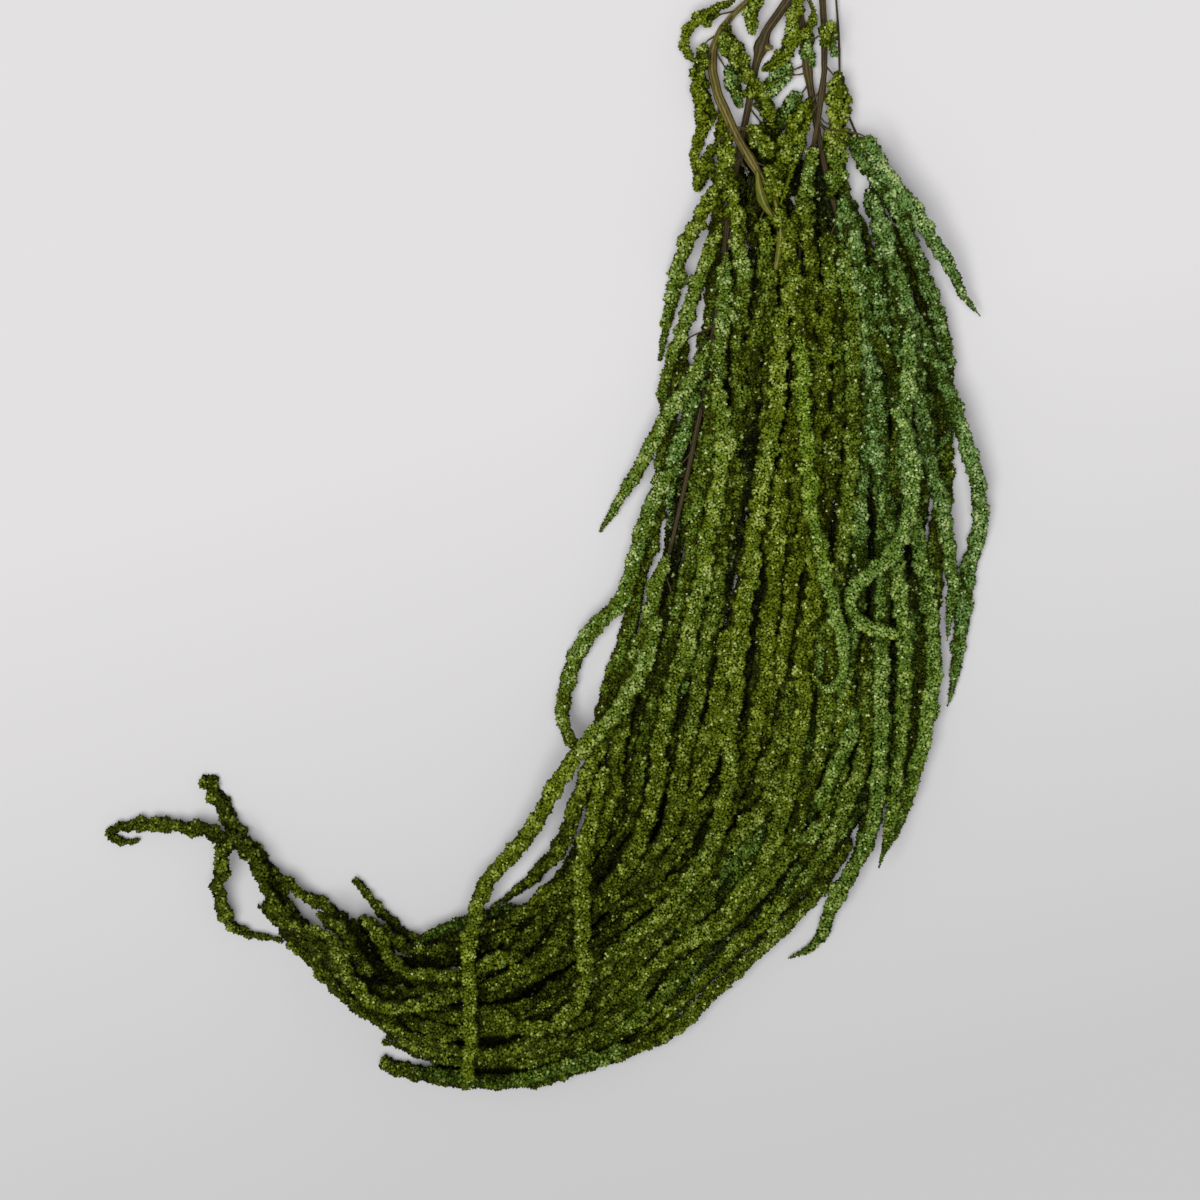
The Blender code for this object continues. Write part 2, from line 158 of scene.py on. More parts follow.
def offsets_of(name):
    """How far a tassel lies from the spine, at each place of the spine that it passes."""
    line = evenly_spaced(lines[name][0][:, :2], SPINE_STEP)
    found = np.full(len(spine), np.nan)
    for place in range(len(spine)):
        away = line - spine[place]
        ahead = away @ heading[place]
        nearest = int(np.abs(ahead).argmin())
        sideways = away[nearest] @ outwards[place]
        if abs(ahead[nearest]) < SPINE_STEP and abs(sideways) < WIDEST:
            found[place] = sideways
    return found


table = np.array([offsets_of(name) for name in tassel_names if "under" in name or "over" in name])
inner_side = softened(np.nanmin(table, axis=0), SIDE_SMOOTHING)
outer_side = softened(np.nanmax(table, axis=0), SIDE_SMOOTHING)
print("width along the bunch, in mm", np.round((outer_side - inner_side)[::30] / MM))


def places_of(points):
    """The share of the way down and of the way across, for each point."""
    away = np.asarray(points)[:, None, :2] - spine[None]
    nearest = np.linalg.norm(away, axis=2).argmin(axis=1)
    sideways = np.einsum("ij,ij->i", away[np.arange(len(away)), nearest], outwards[nearest])
    width = (outer_side - inner_side)[nearest]
    return nearest / (len(spine) - 1), (sideways - inner_side[nearest]) / width


def stream(*stops):
    """A flat route down the bunch. Each stop tells in hundredths how far down and how far across it is."""
    downs, acrosses = np.transpose(stops) / HUNDREDTHS
    first, last = (round(float(down) * (len(spine) - 1)) for down in (downs[0], downs[-1]))
    places = np.arange(first, last + 1)
    share = softened(np.interp(places / (len(spine) - 1), downs, acrosses), STREAM_SMOOTHING)
    sideways = inner_side[places] * (1 - share) + outer_side[places] * share
    return spine[places] + outwards[places] * sideways[:, None]


stem_routes = {name: evenly_spaced(lines[name][0][::-1, :2], 1 * MM) for name in stem_names}
tail_routes = {name: evenly_spaced(lines[name][0][:, :2], 1 * MM) for name in tassel_names if "tail" in name}


def beside(routes, kind, stops):
    points = []
    for number, down, left in stops:
        route = routes[f"{kind}_{number}"]
        points.append(route[down] + left_of(headings(route))[down] * left * MM)
    return np.array(points)


def by_stems(*stops):
    """A flat route past the stems. Each stop is a stem, how far down it, and how far to its left."""
    return beside(stem_routes, "stem", stops)


def by_tails(*stops):
    """The same past the tassels of the tail, where the bunch is too curved to be told from its sides."""
    return beside(tail_routes, "tassel_tail", stops)

# %% [markdown]
# ## Strands
#
# A tassel of the frame has a blunt point and an even girth. On the plant it ends in a fine point, it starts
# as a bare stalk, and near its start short side branches stand out from it. All three are added to the
# strand before anything grows on it, so that the florets follow by themselves. How cool or olive a floret
# is, and how light, depends on where it lies: the inner and the outer side of this bunch are the greener
# and lighter ones.

# %% From a line to strands
STEP = 4 * MM
POINT_LENGTH = 16 * MM
FINE_POINT, BLUNT_POINT = 0.25, 0.7
BARE_LENGTH = 5 * MM
FILLING_LENGTH = 9 * MM
FILLING_SHARE = 0.45  # the girth right after the bare stalk
CEILING = 54 * MM

# tables along the bunch: shares of the way down, and the values there
AGES = ([0.30, 0.48, 0.65, 0.80, 0.92, 1.0], [0.25, 0.5, 0.85, 1.05, 1.05, 1.15])
LIGHTER_SIDES = ([0.30, 0.60, 0.80], [0.60, 0.25, 0.20])
LOOSENESS = ([0.15, 0.30, 0.48, 0.88, 1.0], [1.0, 0.7, 0.5, 0.5, 1.0])
COOL_OUTER = ([0.30, 0.45, 0.65, 0.85], [1.3, 0.75, 0.5, 0.0])

# ramps: where each starts, and its length
SIDE_LIGHTENING = (0.4, 0.6)
INNER_ACROSS, INNER_BEGINS, INNER_ENDS = (0.38, -0.28), (0.08, 0.05), (0.62, -0.15)
OUTER_ACROSS, OUTER_BEGINS = (0.53, 0.18), (0.03, 0.04)
LEAST_COOL, COOL_SIDES = 0.02, 0.6
LOOSE_LOST, AGE_LOST = 0.35, 0.25  # what a cool tassel loses of its looseness and of its age
OWN_AGE_LEAST, OWN_AGE_RANGE = -0.22, 0.45
SWAY_RANGE = 50  # how far apart the sway patterns of two strands can lie


def age_of(points, extra):
    """Darkest in the middle and in the tail of the bunch. No two tassels are quite the same age."""
    down, across = places_of(points)
    own = (extra * 3.7 + 0.5) % 1.0 * OWN_AGE_RANGE + OWN_AGE_LEAST
    side = ramp(np.abs(2 * across - 1), *SIDE_LIGHTENING) * np.interp(down, *LIGHTER_SIDES)
    return np.interp(down, *AGES) - side + own


def looseness_of(points, cool):
    """Clusters stand apart near the stems and at the very tail, and are packed into a cord in between."""
    down, across = places_of(points)
    return np.interp(down, *LOOSENESS) * (1 - LOOSE_LOST * cool)


def coolness_of(points, extra):
    down, across = places_of(points)
    inner = ramp(across, *INNER_ACROSS) * ramp(down, *INNER_BEGINS) * ramp(down, *INNER_ENDS)
    outer = ramp(across, *OUTER_ACROSS) * ramp(down, *OUTER_BEGINS) * np.interp(down, *COOL_OUTER)
    return np.clip(LEAST_COOL + COOL_SIDES * inner + COOL_SIDES * outer + extra, 0, 1)


def tassel_strand(line, bare, extra, point=BLUNT_POINT, younger=0.0, least=0.0):
    """The strand that florets grow on, without its bare stalk. Least is its least share of full girth."""
    centres, radii = line
    length = length_of(centres)
    points = evenly_spaced(np.column_stack([centres, radii]), STEP)
    points, girth = points[:, :3], np.maximum(points[:, 3], least * radii.max())
    along = np.linspace(0, length, len(points))
    girth *= point + (1 - point) * np.sqrt(ramp(along, length, -POINT_LENGTH))
    kept = along >= bare
    girth *= FILLING_SHARE + (1 - FILLING_SHARE) * ramp(along, bare, FILLING_LENGTH)
    points = points[kept]
    cool = coolness_of(points, extra)
    age = age_of(points, extra) - younger - AGE_LOST * cool
    sway = np.full(len(points), 1 + (extra * 17.3 + length * 91.0) % 1.0 * SWAY_RANGE)
    return {"points": points, "girth": girth[kept], "cool": cool, "age": age,
            "loose": looseness_of(points, cool), "sway": sway}


FIRST_SPRIG, SPRIG_GAP = 12 * MM, 11 * MM
GAPS_GROW_OVER = 40 * MM
SPRIG_TURNS = (30, 70)  # degrees away from the tassel
SPRIG_RISES = (-0.2, 0.4)
SPRIG_LENGTHS = (6, 11)  # in millimetres
SPRIG_BEND = 0.6
SPRIG_GIRTH = 0.62
SPRIG_TAPER = np.array([1.0, 1.0, 0.85, 0.45])


def sprigs_of(strand, seed):
    """Short side branches, close together near the start of a tassel and rare further on."""
    chance = np.random.default_rng(seed)
    ways = headings(strand["points"])
    found = []
    place = FIRST_SPRIG * chance.uniform(0.5, 1.5)
    while place < STEP * len(ways) - 2 * POINT_LENGTH:
        index = int(place / STEP)
        turn = math.radians(chance.uniform(*SPRIG_TURNS)) * chance.choice([-1, 1])
        x, y, z = ways[index]
        way = np.array([x * math.cos(turn) - y * math.sin(turn), x * math.sin(turn) + y * math.cos(turn),
                        z + chance.uniform(*SPRIG_RISES)])
        share = np.linspace(0, 1, len(SPRIG_TAPER))[:, None]
        reach = chance.uniform(*SPRIG_LENGTHS) * MM * share
        points = strand["points"][index] + reach * (way + share * (ways[index] - way) * SPRIG_BEND)
        girth = strand["girth"][index] * SPRIG_GIRTH * SPRIG_TAPER
        points[:, 2] = np.clip(points[:, 2], girth, CEILING)
        sprig = {label: np.full(len(points), strand[label][index])
                 for label in ("cool", "age", "loose", "sway")}
        found.append({"points": points, "girth": girth, **sprig})
        place += SPRIG_GAP * (1 + place / GAPS_GROW_OVER) * chance.uniform(0.7, 1.4)
    return found


# %% [markdown]
# The routes of the tassels in between are flat. To lie on the pile, such a tassel is let down like a soft
# cord: at each place it sinks until it meets what is laid already, a little into it because florets give
# way, and from there it can rise and fall only gently. The frame's upper tassels stay on top: where one of
# them crosses, the cord is pressed down below it.

# %% Let a route down on the pile
TASSEL_RADIUS = lines[SPINE][1].max()
STALK_RADIUS = lines[SPINE][1].min()
SWELL_LENGTH = 14 * MM
TAPER_LENGTH = 50 * MM
TIP_SHARE = 0.55
GIVE = 0.78  # how near two tassels come, as a share of their two radii
STEEPEST = 0.4
HIGHEST = 46 * MM
INTO_LID = 2 * MM  # how far a cord may press up into a tassel that crosses over it
ROUTE_SMOOTHING, HEIGHT_SMOOTHING = 3, 4


def laid_line(line, radius):
    points = evenly_spaced(line, SPINE_STEP)
    return np.column_stack([points, np.full(len(points), radius)])


UPPER = ("over", "looped", "inner", "outer", "curled")
upper_names = [name for name in tassel_names if name.split("_")[1] in UPPER]
lids = [laid_line(lines[name][0], lines[name][1].max()) for name in upper_names]
laid = [laid_line(lines[name][0], lines[name][1].max())
        for name in tassel_names + stem_names if name not in upper_names]


def nearness(route, radii, lying):
    """The points of what lies there, and half the height of the lens where the cord meets each of them."""
    points = np.concatenate(lying)
    away = np.linalg.norm(route[:, None] - points[None, :, :2], axis=2)
    reach = GIVE * (radii[:, None] + points[None, :, 3])
    return points, away < reach, np.sqrt(np.maximum(reach**2 - away**2, 0))


def girths(length, radius, count):
    """The radius along a tassel: a thin stalk, a swell, and a taper to the point."""
    along = np.linspace(0, length, count)
    swell = ramp(along, 0, min(SWELL_LENGTH, length / 5))
    taper = ramp(along, length, -min(TAPER_LENGTH, length / 4))
    full = STALK_RADIUS + (radius - STALK_RADIUS) * np.sin(swell * math.pi / 2)
    return full * (TIP_SHARE + (1 - TIP_SHARE) * np.sin(taper * math.pi / 2))


def let_down(route, radius, level=None):
    """The line of a tassel on the pile, or at a level of its own, and its girth."""
    route = softened(evenly_spaced(route, SPINE_STEP), ROUTE_SMOOTHING)
    radii = girths(SPINE_STEP * len(route), radius, len(route))
    if level is None:
        points, met, lens = nearness(route, radii, laid)
        heights = np.maximum(np.where(met, points[:, 2] + lens, 0).max(axis=1), radii)
        points, met, lens = nearness(route, radii, lids)
        ceiling = np.where(met, points[:, 2] - lens, HIGHEST).min(axis=1)
        heights = np.maximum(np.minimum(heights, ceiling), radii)
        for order in (range(1, len(heights)), range(len(heights) - 2, -1, -1)):
            for place in order:
                before = heights[place - order.step]
                heights[place] = max(heights[place], before - STEEPEST * SPINE_STEP)
        heights = np.minimum(softened(heights, HEIGHT_SMOOTHING), HIGHEST)
        heights = np.minimum(heights, np.maximum(ceiling + INTO_LID, radii))
    else:
        heights = np.full(len(route), level)
    line = np.column_stack([route, heights])
    laid.append(np.column_stack([line, np.full(len(line), radius)]))
    return line[::2], radii[::2]


# %% [markdown]
# They are laid in order, like the frame's own tassels: those deep in the bunch first, then the ones on top,
# and then the small curled ones between the stems. Each call gives the kind of route, the finish, the radius
# and the level, which is None for a cord that lies on the pile. Each row after that is one tassel: how much
# cooler it is than its place, and its stops.

# %% The tassels in between
BULKY, FULL, SLIM, SMALL, TINY = (TASSEL_RADIUS * share for share in (1.12, 1.0, 0.92, 0.85, 0.7))
LOW, TABLE = 6 * MM, 4 * MM
between = []


def lay(route_of, finish, radius, level, *rows):
    for extra, *stops in rows:
        between.append((let_down(route_of(*stops), radius, level), finish, extra))


# %% Deep ones on the table, in nearly black painted shade
lay(stream, "painted_shade", FULL, LOW,
    (0.1, (1, 30), (20, 28), (50, 25)),
    (0.0, (2, 62), (20, 56), (45, 53)),
    (0.2, (3, 86), (20, 74), (50, 72)),
    (0.1, (6, 45), (25, 40), (60, 42)),
    (0.1, (10, 95), (30, 90), (60, 88)),
    (0.1, (10, 10), (30, 8), (60, 10)),
    (0.2, (45, 80), (60, 82), (85, 80)),
    (0.2, (50, 95), (65, 94), (85, 93)),
    (0.2, (60, 60), (75, 70), (98, 75)),
    (0.0, (2, 45), (15, 36), (35, 35), (62, 33)),
    (0.0, (5, 74), (20, 66), (40, 65), (60, 66)),
    (0.0, (10, 22), (30, 19), (50, 18), (80, 22)),
    (0.0, (45, 48), (60, 50), (75, 55), (95, 60)),
    (0.0, (55, 35), (70, 38), (85, 42), (97, 45)),
    (0.0, (60, 16), (75, 20), (90, 28), (99, 35)),
    (0.0, (28, 47), (33, 50), (44, 50), (48, 53), (52, 55)),
    (0.0, (28, 27), (36, 30), (45, 27), (51, 23), (66, 30)),
    (0.0, (30, 74), (36, 76), (44, 77), (49, 75), (58, 79)),
    (0.0, (20, 29), (24, 29), (27, 30), (31, 30), (36, 30)),
    (0.0, (17, 79), (21, 77), (25, 77), (29, 79), (33, 79)),
    (0.0, (15, 51), (18, 52), (26, 54), (31, 58), (40, 66)))
lay(by_stems, "painted_shade", FULL, TABLE,
    (0.1, (3, 205, 1), (3, 219, 4), (3, 226, 6), (3, 233, 9), (3, 242, 14)))
lay(by_tails, "painted_shade", FULL, TABLE,
    (0.1, (4, 46, -3), (4, 74, -4), (4, 89, -1), (4, 102, 4), (1, 179, -3), (1, 200, 0), (1, 232, -1)))
print("deep ones", len(between))

# %% Long ones, on top
lay(stream, "olive", FULL, None,
    (0.0, (4, 42), (20, 36), (45, 34), (62, 36)),
    (0.1, (8, 52), (25, 48), (50, 47), (70, 45)),
    (0.1, (10, 66), (25, 60), (50, 58), (66, 60)))
lay(stream, "green", FULL, None,
    (0.3, (12, 76), (30, 70), (50, 68), (72, 70)))
lay(stream, "olive", FULL, None,
    (0.1, (8, 26), (22, 28), (40, 23), (58, 18)))
lay(stream, "green", SLIM, None,
    (0.0, (14, 88), (30, 82), (52, 80), (68, 84)),
    (0.1, (20, 96), (35, 92), (50, 92), (62, 96)))
lay(stream, "olive", FULL, None,
    (0.1, (30, 28), (45, 27), (60, 26), (80, 30)),
    (0.0, (34, 64), (50, 63), (70, 66), (86, 72)))
lay(stream, "green", SLIM, None,
    (0.0, (38, 74), (55, 74), (70, 78), (84, 84)))
lay(stream, "olive", FULL, None,
    (0.1, (40, 12), (55, 13), (72, 16), (86, 22)),
    (0.0, (46, 38), (60, 40), (75, 46), (92, 56)),
    (0.0, (50, 52), (65, 54), (80, 62), (95, 74)))
lay(stream, "olive", SLIM, None,
    (0.2, (55, 86), (68, 88), (80, 92), (92, 97)),
    (0.1, (60, 6), (72, 8), (84, 14), (96, 30)),
    (0.1, (62, 70), (74, 78), (86, 86), (98, 90)),
    (0.0, (10, 67), (17, 57), (28, 53), (40, 51), (47, 52), (57, 56)),
    (0.1, (30, 37), (36, 41), (42, 45), (49, 48), (55, 50), (62, 56)))
lay(stream, "green", SLIM, None,
    (0.2, (10, 81), (17, 68), (23, 65), (35, 66), (48, 66)))
lay(stream, "olive", SMALL, None,
    (0.1, (12, 28), (18, 33), (25, 34), (30, 35), (36, 38)))
lay(stream, "green", SMALL, None,
    (0.2, (26, 18), (33, 20), (46, 22), (52, 21), (60, 20)))
lay(stream, "green", FULL, None,
    (0.42, (12, 69), (17, 67), (21, 68), (26, 71), (30, 77), (35, 82), (40, 85)),
    (0.41, (18, 71), (23, 73), (28, 77), (32, 83), (37, 87), (43, 89)))
lay(stream, "green", SLIM, None,
    (0.15, (27, 67), (31, 70), (35, 73), (40, 74), (45, 74)))
lay(stream, "green", SLIM, TABLE,
    (0.15, (34, 93), (37, 95), (41, 96), (44, 96), (47, 97), (50, 99)))
print("and with the long ones", len(between))

# %% Small curled ones between the stems
lay(by_stems, "olive", FULL, None,
    (0.3, (3, 140, -22), (5, 143, 1), (5, 150, 4), (3, 153, -6)),
    (0.1, (5, 156, -2), (5, 166, 2), (5, 171, 7), (3, 166, -7), (3, 178, 5), (3, 186, 10), (3, 194, 14)))
lay(by_stems, "olive", SMALL, None,
    (0.2, (5, 166, -6), (5, 176, -5), (5, 186, -6), (5, 194, -7), (5, 200, -6), (5, 208, -7)))
lay(by_stems, "green", SMALL, TABLE,
    (0.9, (5, 172, 8), (5, 181, 6), (5, 189, 6), (5, 196, 7), (3, 186, -4)))
lay(by_stems, "green", FULL, TABLE,
    (0.9, (1, 167, 0), (1, 169, -6), (1, 172, -12), (3, 173, 8), (3, 179, 6), (3, 184, 3)),
    (0.9, (1, 176, 0), (1, 181, -5), (1, 187, -10), (1, 192, -15), (1, 198, -17)))
lay(by_stems, "green", SMALL, TABLE,
    (0.8, (1, 145, 3), (1, 152, 4), (1, 161, 2), (1, 169, 3)))
lay(by_stems, "olive", FULL, None,
    (0.0, (1, 180, 3), (1, 190, -4), (4, 188, -11), (4, 198, -12), (5, 241, 8), (5, 254, 3)))
lay(by_stems, "olive", BULKY, None,
    (0.0, (4, 154, 0), (2, 159, -3), (2, 167, -2), (2, 179, -6), (1, 210, 5), (1, 222, 3), (1, 232, -2)))
lay(by_stems, "olive", FULL, None,
    (0.2, (4, 134, 1), (2, 139, -1), (2, 144, -3), (4, 146, -2)))
lay(by_stems, "olive", SMALL, None,
    (0.2, (5, 156, -2), (5, 159, -5), (5, 164, -7), (5, 168, -7)))
lay(by_stems, "olive", FULL, None,
    (0.2, (5, 161, 4), (5, 167, 3), (5, 171, 2), (5, 179, 5)))
lay(by_stems, "green", TINY, None,
    (0.9, (4, 141, 2), (4, 145, 4), (4, 149, 4), (4, 155, 5)))
lay(by_stems, "olive", FULL, None,
    (0.1, (3, 191, -1), (3, 195, 3), (3, 199, 5), (5, 228, 4)))
lay(by_stems, "green", SLIM, None,
    (0.8, (2, 181, -4), (2, 189, -3), (2, 196, -4), (2, 207, -4)))
lay(by_stems, "olive", SMALL, None,
    (0.1, (3, 118, 1), (1, 140, 0), (1, 149, -5), (1, 157, -4), (3, 158, 10), (3, 164, 5), (3, 169, 1)),
    (0.1, (3, 190, -1), (3, 196, 4), (5, 227, 6), (5, 236, 8)))
lay(by_stems, "olive", SLIM, None,
    (0.1, (1, 202, 0), (4, 200, 0), (4, 210, 0), (4, 225, 1), (4, 240, 3)),
    (0.1, (5, 210, -8), (3, 208, -12), (3, 218, -13), (3, 228, -14)))
lay(by_stems, "olive", SLIM, LOW,
    (0.0, (3, 184, 5), (5, 226, 11), (5, 238, 6), (5, 250, -2)))
lay(by_stems, "green", SLIM, None,
    (0.1, (2, 183, -4), (2, 194, -1), (2, 204, 1), (2, 216, 3), (2, 234, 7)))
lay(by_stems, "green", SMALL, None,
    (0.3, (1, 226, 1), (1, 234, 2), (1, 243, 4), (1, 250, 0), (1, 260, 1)))
lay(by_stems, "green", SLIM, None,
    (0.2, (3, 302, -1), (3, 318, -4), (3, 330, -5), (3, 342, -6), (3, 354, -6), (3, 370, -5)))
lay(by_stems, "olive", SMALL, None,
    (0.2, (3, 312, 3), (3, 324, 5), (3, 336, 5), (3, 348, 4), (3, 360, 3), (3, 376, 3)))
lay(stream, "olive", SMALL, TABLE,
    (0.1, (57, 97), (60, 100), (62, 102), (65, 102), (68, 102), (71, 101)))
lay(by_stems, "green", SMALL, None,
    (0.0, (1, 227, 0), (1, 236, 5), (1, 246, 7), (1, 254, 5), (1, 259, -1)),
    (0.2, (2, 206, -8), (2, 213, -5), (2, 222, -4), (2, 232, -4), (2, 243, -5), (2, 256, -7)))
lay(stream, "green", FULL, None,
    (0.42, (10, 84), (12, 78), (15, 75), (18, 74), (21, 74), (26, 76)))
lay(stream, "green", SLIM, None,
    (0.41, (13, 85), (17, 81), (21, 80), (24, 81), (30, 83)))
lay(by_stems, "olive", SLIM, None,
    (0.15, (1, 154, 3), (4, 143, -3), (4, 144, 1), (2, 140, -1)))
print("and with the small ones", len(between))

# %% Those of the tail, where few of the frame's tassels reach
first_of_tail = len(between)
lay(by_tails, "dark", SMALL, TABLE,
    (0.0, (3, 104, -5), (3, 118, -8), (3, 131, -8), (3, 147, -7)))
lay(by_tails, "dark", FULL, TABLE,
    (0.0, (8, 155, 5), (7, 219, -5), (7, 210, -6), (7, 200, -6), (7, 186, -7)))
lay(by_tails, "dark", SMALL, TABLE,
    (0.1, (6, 141, 8), (3, 173, -6), (3, 164, -6), (3, 154, -5), (3, 145, -4)))
lay(by_tails, "dark", SMALL, None,
    (0.1, (4, 131, -1), (4, 137, -4), (3, 158, 3), (3, 164, 3), (3, 171, 3), (3, 178, 3), (3, 188, 3)))
lay(by_tails, "olive", SMALL, None,
    (0.0, (3, 140, -4), (3, 150, -7), (3, 158, -10), (6, 127, 6), (6, 132, 6)),
    (0.14, (2, 122, 0), (2, 149, -2), (2, 161, -5), (2, 191, -2), (2, 207, 4), (2, 224, -1), (4, 160, -6),
     (4, 175, -5)),
    (0.0, (3, 71, -3), (6, 74, 6), (6, 93, 4), (6, 112, 5), (6, 132, 6)),
    (0.14, (1, 94, -6), (3, 91, 0), (3, 112, -1), (3, 131, -4), (3, 143, -5), (3, 161, -9), (3, 173, -8)))
lay(by_tails, "green", TINY, None,
    (0.3, (6, 57, -3), (6, 72, -5), (6, 90, -6), (6, 100, -5), (6, 110, 0)))
lay(by_tails, "dark", SMALL, None,
    (0.1, (8, 60, 1), (8, 83, 1), (8, 103, 1), (8, 122, 3), (8, 140, 5), (8, 156, 1)))
lay(by_tails, "green", SMALL, None,
    (0.3, (7, 141, -3), (7, 161, -1), (7, 199, -1), (7, 217, -1), (7, 235, -2), (7, 249, -2)))
print("tassels in between", len(between), "of which in the tail", len(between) - first_of_tail)

# %% [markdown]
# ## A short way to write node trees
#
# Geometry and shader trees are made of the same few steps: add a node, set its options, feed its sockets.
# One helper does all three. A socket is fed by a value or by another node's output, and is named by its
# label or its number. It returns the node's first output that is in use, which is nearly always the one
# that the next node needs. Sums on sockets get names of their own, so that a long formula stays readable.

# %% Helpers for node trees
GEOMETRY, NUMBER, WHOLE = "NodeSocketGeometry", "NodeSocketFloat", "NodeSocketInt"
OBJECT, MATERIAL, COLOUR = "NodeSocketObject", "NodeSocketMaterial", "NodeSocketColor"


def socket_of(sockets, key):
    if isinstance(key, int):
        return sockets[key]
    return next(socket for socket in sockets if socket.name == key and socket.enabled)


def add(tree, kind, feeds=None, output=None, **options):
    node = tree.nodes.new(kind)
    for name, value in options.items():
        setattr(node, name, value)
    for key, value in (feeds or {}).items():
        socket = socket_of(node.inputs, key)
        if isinstance(value, bpy.types.NodeSocket):
            tree.links.new(value, socket)
        else:
            socket.default_value = value
    if output is not None:
        return socket_of(node.outputs, output)
    return next((socket for socket in node.outputs if socket.enabled), node)


def tree_of(values):
    return next(value.id_data for value in values if isinstance(value, bpy.types.NodeSocket))


def calc(operation, *values):
    return add(tree_of(values), "ShaderNodeMath", dict(enumerate(values)), operation=operation)


def plus(first, *others):
    for other in others:
        first = calc("ADD", first, other)
    return first


def times(first, *others):
    for other in others:
        first = calc("MULTIPLY", first, other)
    return first


def minus(first, second):
    return calc("SUBTRACT", first, second)


def move(operation, *values):
    """The same for vectors."""
    keys = (0, "Scale") if operation == "SCALE" else (0, 1)
    return add(tree_of(values), "ShaderNodeVectorMath", dict(zip(keys, values)), operation=operation)


def part_of(vector, output):
    return add(vector.id_data, "ShaderNodeSeparateXYZ", {"Vector": vector}, output=output)


def ramped(value, low, high):
    """0 below low and 1 above high, with a soft start and end."""
    return add(value.id_data, "ShaderNodeMapRange", {"Value": value, "From Min": low, "From Max": high},
               interpolation_type="SMOOTHSTEP")


def mixed(share, first, second):
    return add(share.id_data, "ShaderNodeMix", {"Factor": share, "A": first, "B": second}, data_type="RGBA")


def noise(place, size, detail):
    return add(place.id_data, "ShaderNodeTexNoise", {"Vector": place, "Scale": 1 / size, "Detail": detail},
               output="Fac")


def new_tree(name, sockets, kind="GeometryNodeTree"):
    """A node group with named inputs and outputs, and a look-up of its input sockets."""
    tree = bpy.data.node_groups.new(name, kind)
    for label, socket_type, way in sockets:
        tree.interface.new_socket(label, in_out=way, socket_type=socket_type)
    entry = tree.nodes.new("NodeGroupInput")
    leave = tree.nodes.new("NodeGroupOutput")
    return tree, {socket.name: socket for socket in entry.outputs}, leave.inputs


# %% Helpers for finishes
def new_finish(name, roughness, specular=None):
    """A new material, its tree, its shader and the place on the object that its patterns read."""
    material = bpy.data.materials.new(name)
    material.use_nodes = True
    tree = material.node_tree
    shader = tree.nodes["Principled BSDF"]
    shader.inputs["Roughness"].default_value = roughness
    if specular is not None:
        shader.inputs["Specular IOR Level"].default_value = specular
    return material, tree, shader.inputs, add(tree, "ShaderNodeTexCoord", output="Object")


def coloured(inputs, colour):
    colour.id_data.links.new(colour, inputs["Base Color"])


def bumped(inputs, height, strength, depth):
    bump = add(height.id_data, "ShaderNodeBump", {"Height": height, "Strength": strength, "Distance": depth})
    height.id_data.links.new(bump, inputs["Normal"])


def attribute_of(tree, name):
    return add(tree, "ShaderNodeAttribute", {}, output="Fac", attribute_name=name)


# %% [markdown]
# ## From a node tree to a plain mesh
#
# What grows in this lesson grows on strands: rows of points with a girth and other values at each point.
# They become a mesh of edges, the tree does its work as a modifier, and the result is kept as a plain mesh.
#
# The bunch lies on a table under its own weight, so whatever grows down to the table is pressed flat there.
# The push fades out within two millimetres, and no vertex passes through.

# %% Helpers for pieces
PRESSED_HEIGHT = 2 * MM


def write_values(mesh, label, values):
    mesh.attributes.new(label, "FLOAT", "POINT").data.foreach_set("value", values.astype(np.float32))


def placed(name, data):
    piece = bpy.data.objects.new(name, data)
    bpy.context.scene.collection.objects.link(piece)
    return piece


def made_plain(piece, modifier):
    """Keep what the modifier makes of the piece as its mesh, and take the modifier off."""
    mesh = piece.data
    result = bpy.data.meshes.new_from_object(piece.evaluated_get(bpy.context.evaluated_depsgraph_get()))
    piece.modifiers.remove(modifier)
    piece.data = result
    bpy.data.meshes.remove(mesh)


def grown(name, strands, tree, values):
    """A new object: the tree's result on a set of strands, as a plain mesh."""
    mesh = bpy.data.meshes.new(name)
    corners, edges = [], []
    for strand in strands:
        first = len(corners)
        corners += [tuple(place) for place in strand["points"]]
        edges += [(index, index + 1) for index in range(first, len(corners) - 1)]
    mesh.from_pydata(corners, edges, [])
    for label in strands[0]:
        if label != "points":
            write_values(mesh, label, np.concatenate([strand[label] for strand in strands]))
    piece = placed(name, mesh)
    modifier = piece.modifiers.new("grow", "NODES")
    modifier.node_group = tree
    for item in tree.interface.items_tree:
        if item.in_out == "INPUT" and item.name in values:
            modifier[item.identifier] = values[item.name]
    made_plain(piece, modifier)
    return piece


def pressed(piece):
    """Flatten what dips to the table, so that it lies on it and never passes through."""
    places = np.empty(len(piece.data.vertices) * 3, np.float32)
    piece.data.vertices.foreach_get("co", places)
    height = places[2::3]
    low = height < PRESSED_HEIGHT
    height[low] = PRESSED_HEIGHT * np.exp(height[low] / PRESSED_HEIGHT - 1)
    piece.data.vertices.foreach_set("co", places)
    piece.data.update()

# %% [markdown]
# ## The body of a tassel
#
# Under its florets a tassel is lumpy, because the florets grow in clusters about five millimetres across.
# The body could be sculpted, but its lumps follow a rule: they sit all round and all along the line. So a
# tree sweeps a ring along the line and pushes the skin out where a cell pattern has its centres, most where
# the strand is "loose". The line itself sways a little first, each strand in its own way. The same function
# serves twice. A fine skin is only used to set florets on, and a coarse plain one stays as the heart of the
# tassel, well below them.

